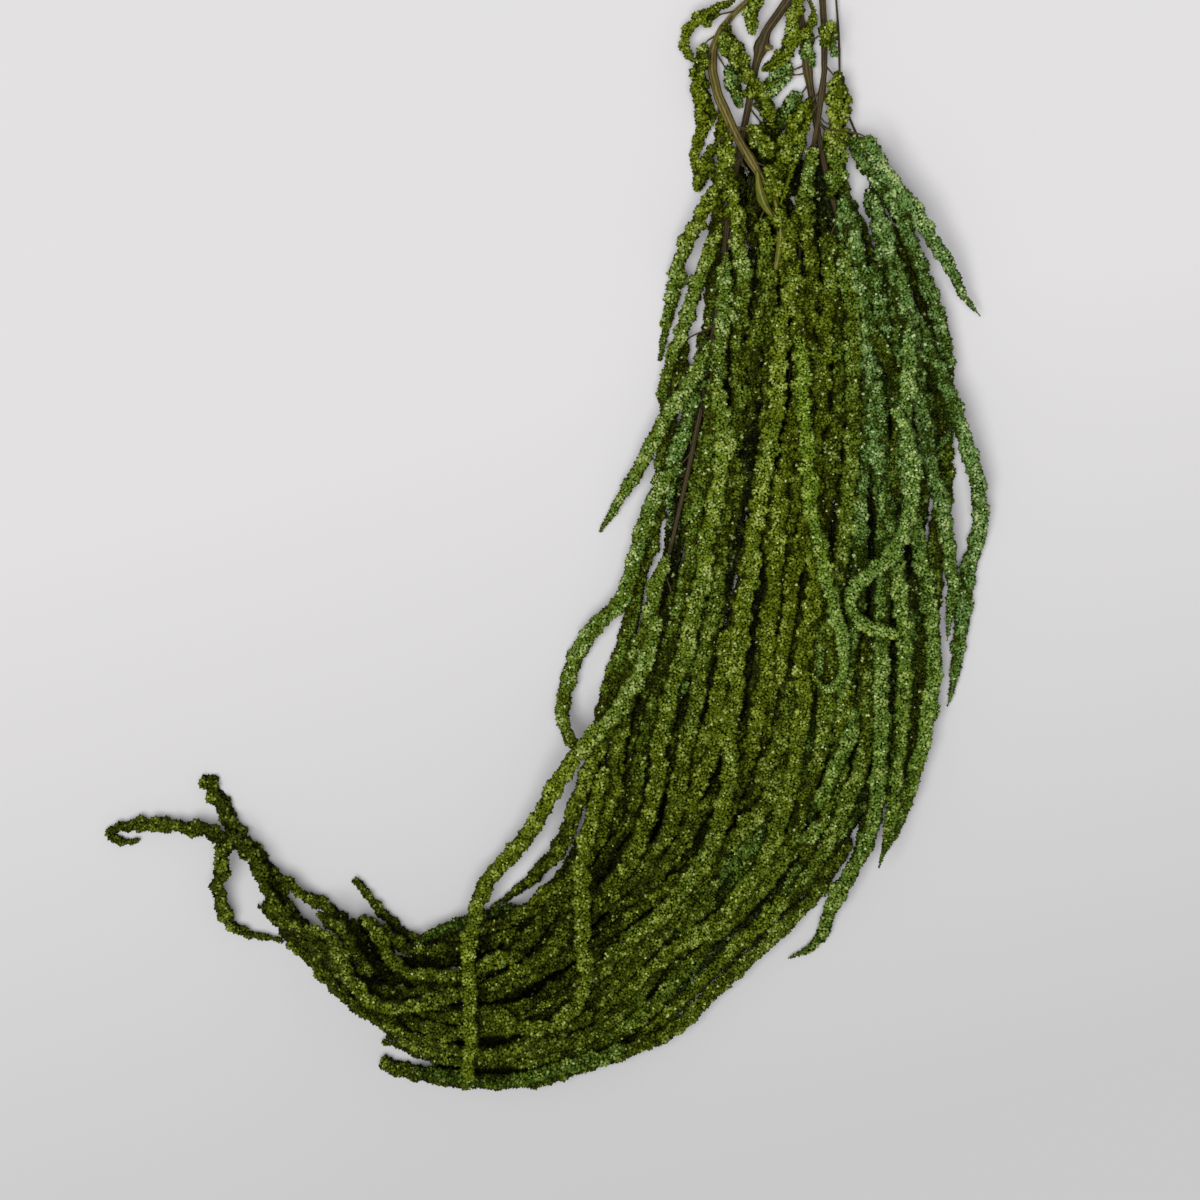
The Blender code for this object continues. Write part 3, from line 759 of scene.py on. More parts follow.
# %% The skin tree
LUMP_SIZE = 5.6 * MM
LUMP_HEIGHT = 1.5
LUMP_REACH = 0.42  # from a lump's centre to its foot, as a share of its size
LOWEST_LUMP = -0.22
LUMP_SOFTNESS = 0.12
SWAY_SIZE = 30 * MM
SWAY = 8.0 * MM  # from one side to the other, at the most
SWAY_WAYS = (1.0, 1.0, 0.3)


def named(tree, name):
    return add(tree, "GeometryNodeInputNamedAttribute", {"Name": name}, data_type="FLOAT")


def stored(geometry, name, value, domain="POINT"):
    return add(geometry.id_data, "GeometryNodeStoreNamedAttribute",
               {"Geometry": geometry, "Name": name, "Value": value}, data_type="FLOAT", domain=domain)


def smooth_line(tree, mesh, step):
    """A strand as a smooth curve with points a step apart."""
    line = add(tree, "GeometryNodeMeshToCurve", {"Mesh": mesh})
    line = add(tree, "GeometryNodeCurveSplineType", {"Curve": line}, spline_type="CATMULL_ROM")
    line = add(tree, "GeometryNodeResampleCurve", {"Curve": line, "Length": 1 * MM}, mode="LENGTH")
    sway = add(tree, "ShaderNodeTexNoise",
               {"Vector": add(tree, "GeometryNodeInputPosition"), "W": named(tree, "sway"),
                "Scale": 1 / SWAY_SIZE, "Detail": 1.0}, output="Color", noise_dimensions="4D")
    sway = move("MULTIPLY", move("SUBTRACT", sway, (0.5, 0.5, 0.5)), SWAY_WAYS)
    reach = times(calc("MINIMUM", named(tree, "sway"), 1.0), SWAY)
    line = add(tree, "GeometryNodeSetPosition", {"Geometry": line, "Offset": move("SCALE", sway, reach)})
    line = add(tree, "GeometryNodeResampleCurve", {"Curve": line, "Length": step}, mode="LENGTH")
    return stored(line, "along", add(tree, "GeometryNodeSplineParameter", output="Factor"))


def skin(tree, mesh, step, sides, share, lumps=LUMP_HEIGHT):
    """Sweeps a lumpy skin along strands. Share is its radius, as a share of the girth."""
    ring = add(tree, "GeometryNodeCurvePrimitiveCircle", {"Resolution": sides, "Radius": 1.0})
    girth = named(tree, "girth")
    line, radius = smooth_line(tree, mesh, step), times(girth, share)
    tube = add(tree, "GeometryNodeCurveToMesh",
               {"Curve": line, "Profile Curve": ring, "Scale": radius, "Fill Caps": True})
    feeds = {"Vector": add(tree, "GeometryNodeInputPosition"), "Scale": 1 / LUMP_SIZE}
    lump = add(tree, "ShaderNodeTexVoronoi", {**feeds, "Smoothness": LUMP_SOFTNESS}, output="Distance",
               feature="SMOOTH_F1")
    own = add(tree, "ShaderNodeTexVoronoi", feeds, output="Color", feature="F1")
    lump = calc("MAXIMUM", minus(LUMP_REACH, lump), LOWEST_LUMP)
    tube = stored(tube, "lump", lump)
    tube = stored(tube, "patch", part_of(own, "X"))
    rise = times(times(named(tree, "lump"), lumps), times(named(tree, "loose"), girth))
    outward = add(tree, "GeometryNodeInputNormal")
    return add(tree, "GeometryNodeSetPosition", {"Geometry": tube, "Offset": move("SCALE", outward, rise)})


heart_tree, given, result = new_tree("tassel_heart", [
    ("Line", GEOMETRY, "INPUT"), ("Ring spacing", NUMBER, "INPUT"), ("Sides", WHOLE, "INPUT"),
    ("Radius share", NUMBER, "INPUT"), ("Heart", GEOMETRY, "OUTPUT")])
heart = skin(heart_tree, given["Line"], given["Ring spacing"], given["Sides"], given["Radius share"], 0.0)
heart_tree.links.new(heart, result["Heart"])
print("skin tree", len(heart_tree.nodes), "nodes")

# %% [markdown]
# ## One floret
#
# The dried floret is a bract: a stiff pointed scale, two millimetres long, with the seed inside. It is
# repeated tens of thousands of times, so it has the fewest faces that still close: three sides and a base.
# Two values are stored on it for its colour. "tip" runs from its base to its point, and "side" goes across
# it, so that each floret has some width on the colour map.

# %% The floret
FLORET_SIDES = 3


def new_floret():
    mesh = bmesh.new()
    bmesh.ops.create_cone(mesh, cap_ends=True, cap_tris=False, segments=FLORET_SIDES,
                          radius1=0.5, radius2=0.0, depth=1.0)
    bmesh.ops.remove_doubles(mesh, verts=mesh.verts, dist=0.001)
    bmesh.ops.translate(mesh, verts=mesh.verts, vec=(0, 0, 0.5))
    data = bpy.data.meshes.new("floret")
    mesh.to_mesh(data)
    mesh.free()
    corners = np.array([corner.co for corner in data.vertices])
    write_values(data, "tip", corners[:, 2])
    write_values(data, "side", 2 * corners[:, 0])
    return bpy.data.objects.new("floret", data)


floret = new_floret()
print("floret", len(floret.data.vertices), "corners", len(floret.data.polygons), "faces")

# %% [markdown]
# ## Florets on a tassel
#
# Setting each floret by hand is out of the question, and particles are dropped when a model is exported.
# Geometry Nodes scatter points over the fine skin, turn a floret to each point and make the copies real.
# A bunch hides most of its own surface, so the tree looks around from each point first: it sends out rays,
# and sets a floret only where one of them leaves the pile. Florets seen from above stand close together,
# and those that show only from the sides or from below are fewer and larger.

# %% The tassel tree
SKIN_STEP = 1.0 * MM
SKIN_SIDES = 14
HEART_STEP = 4.0 * MM
HEART_SIDES = 6
HEART_SHARE = 0.5
GLINT_SHARE = 0.022
LOOK_LENGTH = 0.2
LOOK_START = 1.2 * MM
MAP_NAME = "OFBake"  # the name that keeps a piece's own colour map when the model is exported
THIN_GIRTH, FULL_GIRTH = 0.5 * MM, 3.2 * MM  # from half-size florets to full ones
CROWDING = 1.6  # points tried for each square of one spacing

tassel_tree, given, result = new_tree("tassel_of_florets", [
    ("Line", GEOMETRY, "INPUT"), ("Floret", OBJECT, "INPUT"), ("Pile", OBJECT, "INPUT"),
    ("Spacing", NUMBER, "INPUT"), ("Floret length", NUMBER, "INPUT"), ("Floret width", NUMBER, "INPUT"),
    ("Skin share", NUMBER, "INPUT"), ("Tilt", NUMBER, "INPUT"), ("Underside share", NUMBER, "INPUT"),
    ("Seed", WHOLE, "INPUT"), ("Finish", MATERIAL, "INPUT"), ("Tassel", GEOMETRY, "OUTPUT")])
tree = tassel_tree
fine_skin = skin(tree, given["Line"], SKIN_STEP, SKIN_SIDES, given["Skin share"])
scatter = tree.nodes.new("GeometryNodeDistributePointsOnFaces")
scatter.distribute_method = "POISSON"
tree.links.new(fine_skin, scatter.inputs["Mesh"])
tree.links.new(given["Spacing"], scatter.inputs["Distance Min"])
density = calc("DIVIDE", CROWDING, times(given["Spacing"], given["Spacing"]))
tree.links.new(density, socket_of(scatter.inputs, "Density Max"))
tree.links.new(given["Seed"], scatter.inputs["Seed"])
outward = scatter.outputs["Normal"]
facing = scatter.outputs["Rotation"]

# %% [markdown]
# A ray is free when it meets nothing of the pile. Nine rays look up and aslant, and nine look sideways and
# down. The two answers are kept apart, because they ask for a different number of florets. The share of
# free rays above a floret is kept too: where it is small, the floret gets painted shade.

# %% Which florets can be seen
LEAST_FREE = 0.01

place = add(tree, "GeometryNodeInputPosition")
look_from = move("ADD", place, move("SCALE", outward, LOOK_START))
pile = add(tree, "GeometryNodeObjectInfo", {"Object": given["Pile"]}, output="Geometry")


def share_free(directions):
    """The share of rays in these directions that leave the pile."""
    met = 0.0
    for direction in directions:
        hit = add(tree, "GeometryNodeRaycast",
                  {"Target Geometry": pile, "Source Position": look_from, "Ray Direction": direction,
                   "Ray Length": LOOK_LENGTH}, output="Is Hit")
        met = plus(hit, met)
    return minus(1.0, calc("DIVIDE", met, float(len(directions))))


SLANTS = [(1, 0), (0, 1), (-1, 0), (0, -1)]
BETWEEN = [(1, 1), (-1, 1), (-1, -1), (1, -1)]
openness = share_free([(0, 0, 1)] + [(0.6 * x, 0.6 * y, 1) for x, y in SLANTS]
                      + [(1.1 * x, 1.1 * y, 1) for x, y in BETWEEN])
from_above = calc("GREATER_THAN", openness, LEAST_FREE)
below = share_free([(0, 0, -1)] + [(x, y, 0.15) for x, y in SLANTS] + [(x, y, -0.9) for x, y in SLANTS])
from_below = calc("GREATER_THAN", below, LEAST_FREE)
chance = add(tree, "FunctionNodeRandomValue", {"Probability": given["Underside share"],
                                               "Seed": given["Seed"]}, data_type="BOOLEAN")
from_below = add(tree, "FunctionNodeBooleanMath", {0: from_below, 1: chance}, operation="AND")
wanted = add(tree, "FunctionNodeBooleanMath", {0: from_above, 1: from_below}, operation="OR")

# %% [markdown]
# Each floret gets a turn about its own axis, a lean and a size from seeded random numbers, so that the same
# tassel comes out every time. "tone" is one more such number, mixed with one that all florets of a cluster
# share, so that clusters differ, and with painted light and shade: lighter where a cluster stands out,
# darker in the gaps between clusters, where few rays leave the pile and where the skin faces sideways.
# "cool" says how green the floret is. It comes from the strand, with a little chance.

# %% Turn and size of each floret
FLORET_SIZES = (0.7, 1.3)
UNDERSIDE_SIZE = 1.35
SUNK = -0.3  # how deep a floret stands in the skin, as a share of its length


def random_value(seed, least, most):
    feeds = {"Min": least, "Max": most, "Seed": seed}
    return add(tree, "FunctionNodeRandomValue", feeds, data_type="FLOAT")


def turned_by(rotation, **angles):
    euler = add(tree, "ShaderNodeCombineXYZ", angles)
    turn = add(tree, "FunctionNodeEulerToRotation", {"Euler": euler})
    return add(tree, "FunctionNodeRotateRotation", {"Rotation": rotation, "Rotate By": turn},
               rotation_space="LOCAL")


turned = turned_by(facing, Z=random_value(11, 0.0, math.tau))
turned = turned_by(turned, X=times(random_value(12, -1.0, 1.0), given["Tilt"]))
hidden = add(tree, "GeometryNodeSwitch", {"Switch": from_above, "False": UNDERSIDE_SIZE, "True": 1.0},
             input_type="FLOAT")
slender = add(tree, "ShaderNodeMapRange", {"Value": named(tree, "girth"), "From Min": THIN_GIRTH,
                                           "From Max": FULL_GIRTH, "To Min": 0.5, "To Max": 1.0})
size = times(random_value(13, *FLORET_SIZES), hidden, slender)
wide = times(size, given["Floret width"])
tall = times(size, given["Floret length"])
scale = add(tree, "ShaderNodeCombineXYZ", {"X": wide, "Y": wide, "Z": tall})
sunk = move("SCALE", outward, times(given["Floret length"], SUNK))
points = add(tree, "GeometryNodeSetPosition", {"Geometry": scatter.outputs["Points"], "Offset": sunk})
shape = add(tree, "GeometryNodeObjectInfo", {"Object": given["Floret"]}, output="Geometry")
florets = add(tree, "GeometryNodeInstanceOnPoints",
              {"Points": points, "Selection": wanted, "Instance": shape, "Rotation": turned,
               "Scale": scale})

# %% Tone, coolness and age of each floret
TONE_LEAST, TONE_RANGE = 0.16, 0.42
OF_PATCH, PAINTED_LUMP_LIGHT = 0.22, 0.9  # what a cluster's own number adds to the tone, and its height as painted light on top and painted shade between clusters
OPEN, OF_PAINTED_SHADE = 0.8, -0.9  # below this openness a floret gets painted shade, and how fast
STEEP, OF_PAINTED_FLANK_SHADE = 0.6, -0.55  # the same painted shade, for skin that faces sideways
BRIGHTEST, TONE_OF_GLINT = 0.86, 0.97
DITHER = 0.25

chancy = plus(TONE_LEAST, times(calc("POWER", random_value(14, 0.0, 1.0), 2.0), TONE_RANGE))
patch_and_painted_relief = plus(times(named(tree, "patch"), OF_PATCH), times(named(tree, "lump"), PAINTED_LUMP_LIGHT))
# painted shade where few rays leave the pile, and on skin that faces sideways
painted_open_shade = times(minus(OPEN, openness), OF_PAINTED_SHADE)
painted_flank_shade = times(calc("MAXIMUM", minus(STEEP, part_of(outward, "Z")), 0.0), OF_PAINTED_FLANK_SHADE)
tone = calc("MINIMUM", plus(plus(chancy, patch_and_painted_relief), plus(painted_open_shade, painted_flank_shade)), BRIGHTEST)
# painted glints: a few florets get the palest tone and turn nearly straw-white
painted_glint = add(tree, "FunctionNodeRandomValue", {"Probability": GLINT_SHARE, "Seed": 17}, data_type="BOOLEAN")
tone = add(tree, "GeometryNodeSwitch", {"Switch": painted_glint, "False": tone, "True": TONE_OF_GLINT},
           input_type="FLOAT")
florets = stored(florets, "tone", tone, "INSTANCE")
for label, seed in (("cool", 15), ("age", 16)):
    value = plus(named(tree, label), random_value(seed, -DITHER, DITHER))
    florets = stored(florets, label, value, "INSTANCE")
florets = add(tree, "GeometryNodeRealizeInstances", {"Geometry": florets})
florets = add(tree, "GeometryNodeSetShadeSmooth", {"Geometry": florets})

# %% [markdown]
# The colour map is laid out by value and not by place. It is a chart with nine rows: three ages, and within
# each age three steps from olive to cool green. Along a row goes the tone, and up a row goes the way from a
# floret's base to its point. All florets of one colour share a spot, so a small picture of the chart holds
# every colour. The heart takes the dull side of the chart, the painted shade of a floret's foot, and is
# painted a little lighter where it faces up.

# %% The colour chart of a tassel
STEPS = 3  # of age, and of coolness within each age
ROWS = STEPS * STEPS
ROW_MARGIN = 0.06  # kept free above and below each row, as a share of its height
SIDE_MARGIN = 0.02
FLORET_ON_CHART = 0.008  # the width of a floret on the chart, on either side
HEART_TONES, HEART_TIPS = (0.15, 0.2), (0.15, 0.1)  # where each starts, and what is added: along the heart, and as painted light where it faces up


def step_of(tree, value):
    step = add(tree, "ShaderNodeMapRange", {"Value": value, "To Min": 0.0, "To Max": STEPS - 1.0})
    return calc("ROUND", step)


def with_chart(tree, geometry, tone, tip):
    across = add(tree, "ShaderNodeMapRange",
                 {"Value": tone, "To Min": SIDE_MARGIN, "To Max": 1 - SIDE_MARGIN})
    across = plus(across, times(named(tree, "side"), FLORET_ON_CHART))
    row = times(step_of(tree, named(tree, "age")), float(STEPS))
    row = plus(row, step_of(tree, named(tree, "cool")))
    up = add(tree, "ShaderNodeMapRange", {"Value": tip, "To Min": ROW_MARGIN, "To Max": 1 - ROW_MARGIN})
    spot = add(tree, "ShaderNodeCombineXYZ", {"X": across, "Y": calc("DIVIDE", plus(row, up), float(ROWS))})
    return add(tree, "GeometryNodeStoreNamedAttribute",
               {"Geometry": geometry, "Name": MAP_NAME, "Value": spot},
               data_type="FLOAT2", domain="CORNER")


florets = with_chart(tree, florets, named(tree, "tone"), named(tree, "tip"))
heart = skin(tree, given["Line"], HEART_STEP, HEART_SIDES, times(given["Skin share"], HEART_SHARE),
             lumps=0.0)
# painted light: the heart is made lighter where it faces up
painted_top_light = part_of(add(tree, "GeometryNodeInputNormal"), "Z")
heart = with_chart(tree, heart, plus(HEART_TONES[0], times(named(tree, "along"), HEART_TONES[1])),
                   plus(HEART_TIPS[0], times(painted_top_light, HEART_TIPS[1])))
both = add(tree, "GeometryNodeJoinGeometry").node
tree.links.new(florets, both.inputs[0])
tree.links.new(heart, both.inputs[0])
finished = add(tree, "GeometryNodeSetMaterial", {"Geometry": both.outputs[0], "Material": given["Finish"]})
tree.links.new(finished, result["Tassel"])
print("tassel tree", len(tree.nodes), "nodes")

# %% [markdown]
# ## The colour of florets
#
# Preserved amaranthus is dyed. Each floret gets painted shade at its foot, where the florets crowd together,
# and a painted highlight at its point. Old clusters turn yellow-brown, young ones stay cool green, and here
# and there a floret is painted nearly straw-white as a glint. One shader group mixes these from tone and
# tip, darkens them with age and with the painted shade that the tone carries, and each finish gives it its
# own colours.

# %% The floret colour group
AGED_LOSS = 0.64
AGED_TINT = (1.0, 1.02, 0.6, 1)
BRIGHT_KEPT = 0.35
COOL_BRIGHT = (0.43, 0.54, 0.205, 1)  # the bright colour of cool florets, which also makes the painted highlight at their points
OLD_TONES, BRIGHT_TONES, GLINT_TONES = (0.10, 0.42), (0.45, 0.85), (0.90, 0.95)
FOOT_SHADE_TIPS, GLINT_TIPS, HIGHLIGHT_TIPS = (0.0, 0.4), (0.5, 0.8), (0.7, 1.0)
HIGHLIGHT_SHARE = 0.22
PAINTED_SHADE_BELOW, PAINTED_SHADE_LEAST = 0.3, 0.25  # below this tone a floret gets more painted shade, down to this share of its colour

colour_group, given, result = new_tree("floret_colour", [
    ("Tone", NUMBER, "INPUT"), ("Tip", NUMBER, "INPUT"), ("Cool share", NUMBER, "INPUT"),
    ("Age", NUMBER, "INPUT"),
    ("Deep", COLOUR, "INPUT"), ("Old", COLOUR, "INPUT"), ("Body", COLOUR, "INPUT"),
    ("Bright", COLOUR, "INPUT"), ("Cool", COLOUR, "INPUT"), ("Straw", COLOUR, "INPUT"),
    ("Color", COLOUR, "OUTPUT")],
    kind="ShaderNodeTree")
tree = colour_group
body = mixed(given["Cool share"], given["Body"], given["Cool"])
body = mixed(ramped(given["Tone"], *OLD_TONES), given["Old"], body)
bright = mixed(given["Cool share"], given["Bright"], COOL_BRIGHT)
body = mixed(ramped(given["Tone"], *BRIGHT_TONES), body, bright)
# painted glints, on the florets of the palest tone
painted_glint = times(ramped(given["Tone"], *GLINT_TONES), ramped(given["Tip"], *GLINT_TIPS))
body = mixed(painted_glint, body, given["Straw"])
# a painted highlight at the point of each floret
painted_highlight = times(ramped(given["Tip"], *HIGHLIGHT_TIPS), HIGHLIGHT_SHARE)
body = mixed(painted_highlight, body, bright)
# painted shade at the foot of each floret, where the florets crowd together
body = mixed(ramped(given["Tip"], *FOOT_SHADE_TIPS), given["Deep"], body)
kept = times(ramped(given["Tone"], *BRIGHT_TONES), BRIGHT_KEPT)
loss = times(given["Age"], times(minus(1.0, kept), AGED_LOSS))
darker = minus(1.0, loss)
# more painted shade for the low tones
sunk = add(tree, "ShaderNodeMapRange", {"Value": given["Tone"], "From Max": PAINTED_SHADE_BELOW,
                                        "To Min": PAINTED_SHADE_LEAST, "To Max": 1.0})
darker = times(darker, sunk)
tint = mixed(given["Age"], (1, 1, 1, 1), AGED_TINT)
tree.links.new(move("MULTIPLY", move("SCALE", body, darker), tint), result["Color"])


def floret_finish(name, **colours):
    material, tree, inputs, where = new_finish(name, roughness=0.5, specular=0.08)
    spot = add(tree, "ShaderNodeUVMap", uv_map=MAP_NAME)
    spot = add(tree, "ShaderNodeSeparateXYZ", {"Vector": spot}).node
    height = times(spot.outputs["Y"], float(ROWS))
    tip = add(tree, "ShaderNodeMapRange", {"Value": calc("FRACT", height), "From Min": ROW_MARGIN,
                                           "From Max": 1 - ROW_MARGIN})
    row = calc("FLOOR", height)
    age_step = calc("FLOOR", calc("DIVIDE", plus(row, 0.5), float(STEPS)))
    cool_step = minus(row, times(age_step, float(STEPS)))
    colour = add(tree, "ShaderNodeGroup", {}, node_tree=colour_group)
    group = colour.node
    tree.links.new(spot.outputs["X"], group.inputs["Tone"])
    tree.links.new(tip, group.inputs["Tip"])
    tree.links.new(calc("DIVIDE", cool_step, STEPS - 1.0), group.inputs["Cool share"])
    tree.links.new(calc("DIVIDE", age_step, STEPS - 1.0), group.inputs["Age"])
    for label, value in colours.items():
        group.inputs[label.capitalize()].default_value = (*value, 1)
    coloured(inputs, colour)
    shine = add(tree, "ShaderNodeMapRange", {"Value": spot.outputs["X"], "To Min": 0.75, "To Max": 0.5})
    tree.links.new(shine, inputs["Roughness"])
    bumped(inputs, noise(where, 0.5 * MM, 2.0), 0.4, 0.2 * MM)
    return material


# deep is the painted shade at each floret's foot, bright also makes the painted highlight at its point, and
# straw the painted glints
olive = floret_finish("floret_olive", deep=(0.068, 0.102, 0.001), old=(0.110, 0.134, 0.002),
                      body=(0.158, 0.205, 0.006), bright=(0.38, 0.45, 0.075), cool=(0.104, 0.205, 0.026),
                      straw=(0.74, 0.82, 0.46))
green = floret_finish("floret_green", deep=(0.066, 0.112, 0.004), old=(0.094, 0.148, 0.006),
                      body=(0.148, 0.232, 0.012), bright=(0.36, 0.47, 0.080), cool=(0.136, 0.254, 0.064),
                      straw=(0.70, 0.84, 0.50))
dark = floret_finish("floret_dark", deep=(0.068, 0.090, 0.001), old=(0.102, 0.114, 0.002),
                     body=(0.142, 0.185, 0.005), bright=(0.33, 0.40, 0.055), cool=(0.100, 0.180, 0.020),
                     straw=(0.66, 0.72, 0.36))
# nearly black florets for the deep cords: painted shade where only the shade between tassels shows
painted_shade = floret_finish("floret_painted_shade", deep=(0.012, 0.018, 0.001), old=(0.024, 0.028, 0.002),
                      body=(0.032, 0.045, 0.004), bright=(0.065, 0.082, 0.010), cool=(0.024, 0.048, 0.010),
                      straw=(0.10, 0.12, 0.03))
FINISHES = {"olive": (olive, "tassel_olive"), "green": (green, "tassel_green"),
            "dark": (dark, "tassel_dark"), "painted_shade": (painted_shade, "tassel_dark")}
FAMILIES = {"under": "olive", "over": "olive", "inner": "olive", "curled": "olive",
            "outer": "green", "looped": "green", "tail": "dark"}
print("floret finishes", sorted(FINISHES))

# %% [markdown]
# ## The pile
#
# The rays of the tassel tree need something to meet. All hearts are made once, a little thinner than the
# dressed tassels, and joined in one helper object that is removed when the tassels are done.

# %% All hearts as one object
PILE_SHARE = 0.66
BARE = {"tassel_outer_7": 29 * MM, "tassel_outer_2": 20 * MM, "tassel_tail_5": 32 * MM}
COOLER = {"tassel_outer_1": 0.5, "tassel_outer_7": 0.6, "tassel_outer_2": 0.4}
YOUNGER = {"tassel_looped_1": 0.4, "tassel_looped_2": 0.4, "tassel_looped_3": 0.5, "tassel_inner_6": 0.6,
           "tassel_outer_1": 0.6, "tassel_outer_2": 0.4, "tassel_outer_7": 0.6}
LEAST = {"tassel_tail_1": 1.0, "tassel_tail_2": 1.1, "tassel_tail_3": 0.65, "tassel_tail_6": 0.6,
         "tassel_tail_7": 1.0, "tassel_tail_8": 0.65, "tassel_inner_6": 0.95, "tassel_looped_3": 0.95,
         "tassel_looped_1": 0.9}
POINTS = {"tail": 1.0, "outer": FINE_POINT}  # how blunt a tassel ends
CALM = {"tail": 0.4, "looped": 0.4, "curled": 0.4, "inner": 0.5, "outer": 0.5}  # the share of the sway

to_dress = {}
for seed, name in enumerate(tassel_names):
    extra = (seed * 0.37 % 1.0 - 0.5) * 0.3 + COOLER.get(name, 0.0)
    family = name.split("_")[1]
    strand = tassel_strand(lines[name], BARE.get(name, BARE_LENGTH), extra, POINTS.get(family, BLUNT_POINT),
                           YOUNGER.get(name, 0.0), LEAST.get(name, 0.0))
    if family in CALM:
        strand["sway"][:] = CALM[family]
    finish = "olive" if name == "tassel_looped_3" else FAMILIES[family]
    to_dress[name] = (strand, finish)
for number, (line, finish, extra) in enumerate(between):
    strand = tassel_strand(line, BARE_LENGTH, extra)
    if number >= first_of_tail:
        strand["sway"][:] = CALM["tail"]
    to_dress[f"tassel_between_{number + 1}"] = (strand, finish)

pile_strands = [{label: strand[label] for label in ("points", "girth", "sway")}
                for strand, finish in to_dress.values()]
pile_strands += [{"points": lines[name][0], "girth": lines[name][1], "sway": 0 * lines[name][1]}
                 for name in stem_names]
pile_shape = grown("pile", pile_strands, heart_tree,
                   {"Ring spacing": 4 * MM, "Sides": 8, "Radius share": PILE_SHARE})
print("pile", len(pile_shape.data.polygons), "faces")

# %% [markdown]
# ## Dressing the tassels
#
# Each tassel is grown from its own strand and sprigs. Those of the frame stand in for the frame's solids,
# and the ones in between ride along with them.

# %% Grow every tassel
SPACING = 0.96 * MM
FLORET_LENGTH = 1.5 * MM
FLORET_WIDTH = 2.8 * MM
SKIN_SHARE = 0.78
TILT = 0.6
UNDERSIDE_SHARE = 0.4

faces = 0
for seed, (name, (strand, finish)) in enumerate(to_dress.items()):
    material, slot = FINISHES[finish]
    piece = grown(f"florets_{name}", [strand] + sprigs_of(strand, seed), tassel_tree, {
        "Floret": floret, "Pile": pile_shape, "Spacing": SPACING, "Floret length": FLORET_LENGTH,
        "Floret width": FLORET_WIDTH, "Skin share": SKIN_SHARE, "Tilt": TILT,
        "Underside share": UNDERSIDE_SHARE, "Seed": seed, "Finish": material})
    pressed(piece)
    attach(piece, "root")
    if name in nodes:
        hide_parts(name)
    faces += len(piece.data.polygons)
print("tassels dressed,", faces, "faces")

# %% [markdown]
# ## Stems
#
# An amaranthus stem is ridged lengthwise and thickens a little where a leaf or a side branch grew. Cut and
# dried, it is olive-brown on the crests and nearly black in the grooves, and it shows pale pith at the cut.
# A round tube would lose the ridges, so a star with blunt points is swept along the line instead, turning
# slowly as it goes, and "crest" remembers which corners are high.

# %% The stem tree
RIDGE_STEP = 3 * MM
KNOB_SIZE, KNOB_HEIGHT = 6 * MM, 0.35

stem_tree, given, result = new_tree("ridged_stem", [
    ("Line", GEOMETRY, "INPUT"), ("Ridges", WHOLE, "INPUT"), ("Groove share", NUMBER, "INPUT"),
    ("Turns", NUMBER, "INPUT"), ("Ring spacing", NUMBER, "INPUT"), ("Finish", MATERIAL, "INPUT"),
    ("Stem", GEOMETRY, "OUTPUT")])
tree = stem_tree
line = add(tree, "GeometryNodeMeshToCurve", {"Mesh": given["Line"]})
line = add(tree, "GeometryNodeCurveSplineType", {"Curve": line}, spline_type="CATMULL_ROM")
line = add(tree, "GeometryNodeResampleCurve", {"Curve": line, "Length": given["Ring spacing"]},
           mode="LENGTH")
along = add(tree, "GeometryNodeSplineParameter", output="Factor")
turn = times(along, math.tau, given["Turns"])
line = add(tree, "GeometryNodeSetCurveTilt", {"Curve": line, "Tilt": turn})
star = add(tree, "GeometryNodeCurveStar", {"Points": given["Ridges"], "Inner Radius": given["Groove share"],
                                           "Outer Radius": 1.0})
star = stored(star, "crest", star.node.outputs["Outer Points"])
tube = add(tree, "GeometryNodeCurveToMesh", {"Curve": line, "Profile Curve": star,
                                             "Scale": named(tree, "girth"), "Fill Caps": True})
knobs = noise(add(tree, "GeometryNodeInputPosition"), KNOB_SIZE, 2.0)
rise = times(minus(knobs, 0.5), KNOB_HEIGHT, named(tree, "girth"))
push = move("SCALE", add(tree, "GeometryNodeInputNormal"), rise)
tube = add(tree, "GeometryNodeSetPosition", {"Geometry": tube, "Offset": push})
tube = add(tree, "GeometryNodeSetShadeSmooth", {"Geometry": tube})
finished = add(tree, "GeometryNodeSetMaterial", {"Geometry": tube, "Material": given["Finish"]})
tree.links.new(finished, result["Stem"])
print("stem tree", len(tree.nodes), "nodes")

# %% [markdown]
# Bark colour comes from three things: the crest value, streaks that run along the stem, and "age", which
# is set per stem, since some stems in a bunch dry darker than others.

# %% Bark
STREAK_SIZE, STREAK_STRETCH, BLOTCH_SIZE = 0.7 * MM, (1.0, 0.07, 1.0), 9 * MM
OF_STREAK, OF_BLOTCH = 1.6, 0.8

# each pair is for a young stem and for an old one, and the pith's for its two streaks
CRESTS = ((0.27, 0.225, 0.055, 1), (0.092, 0.066, 0.029, 1))
GROOVES = ((0.11, 0.088, 0.020, 1), (0.036, 0.026, 0.012, 1))
PITH = ((0.30, 0.30, 0.14, 1), (0.42, 0.40, 0.22, 1))

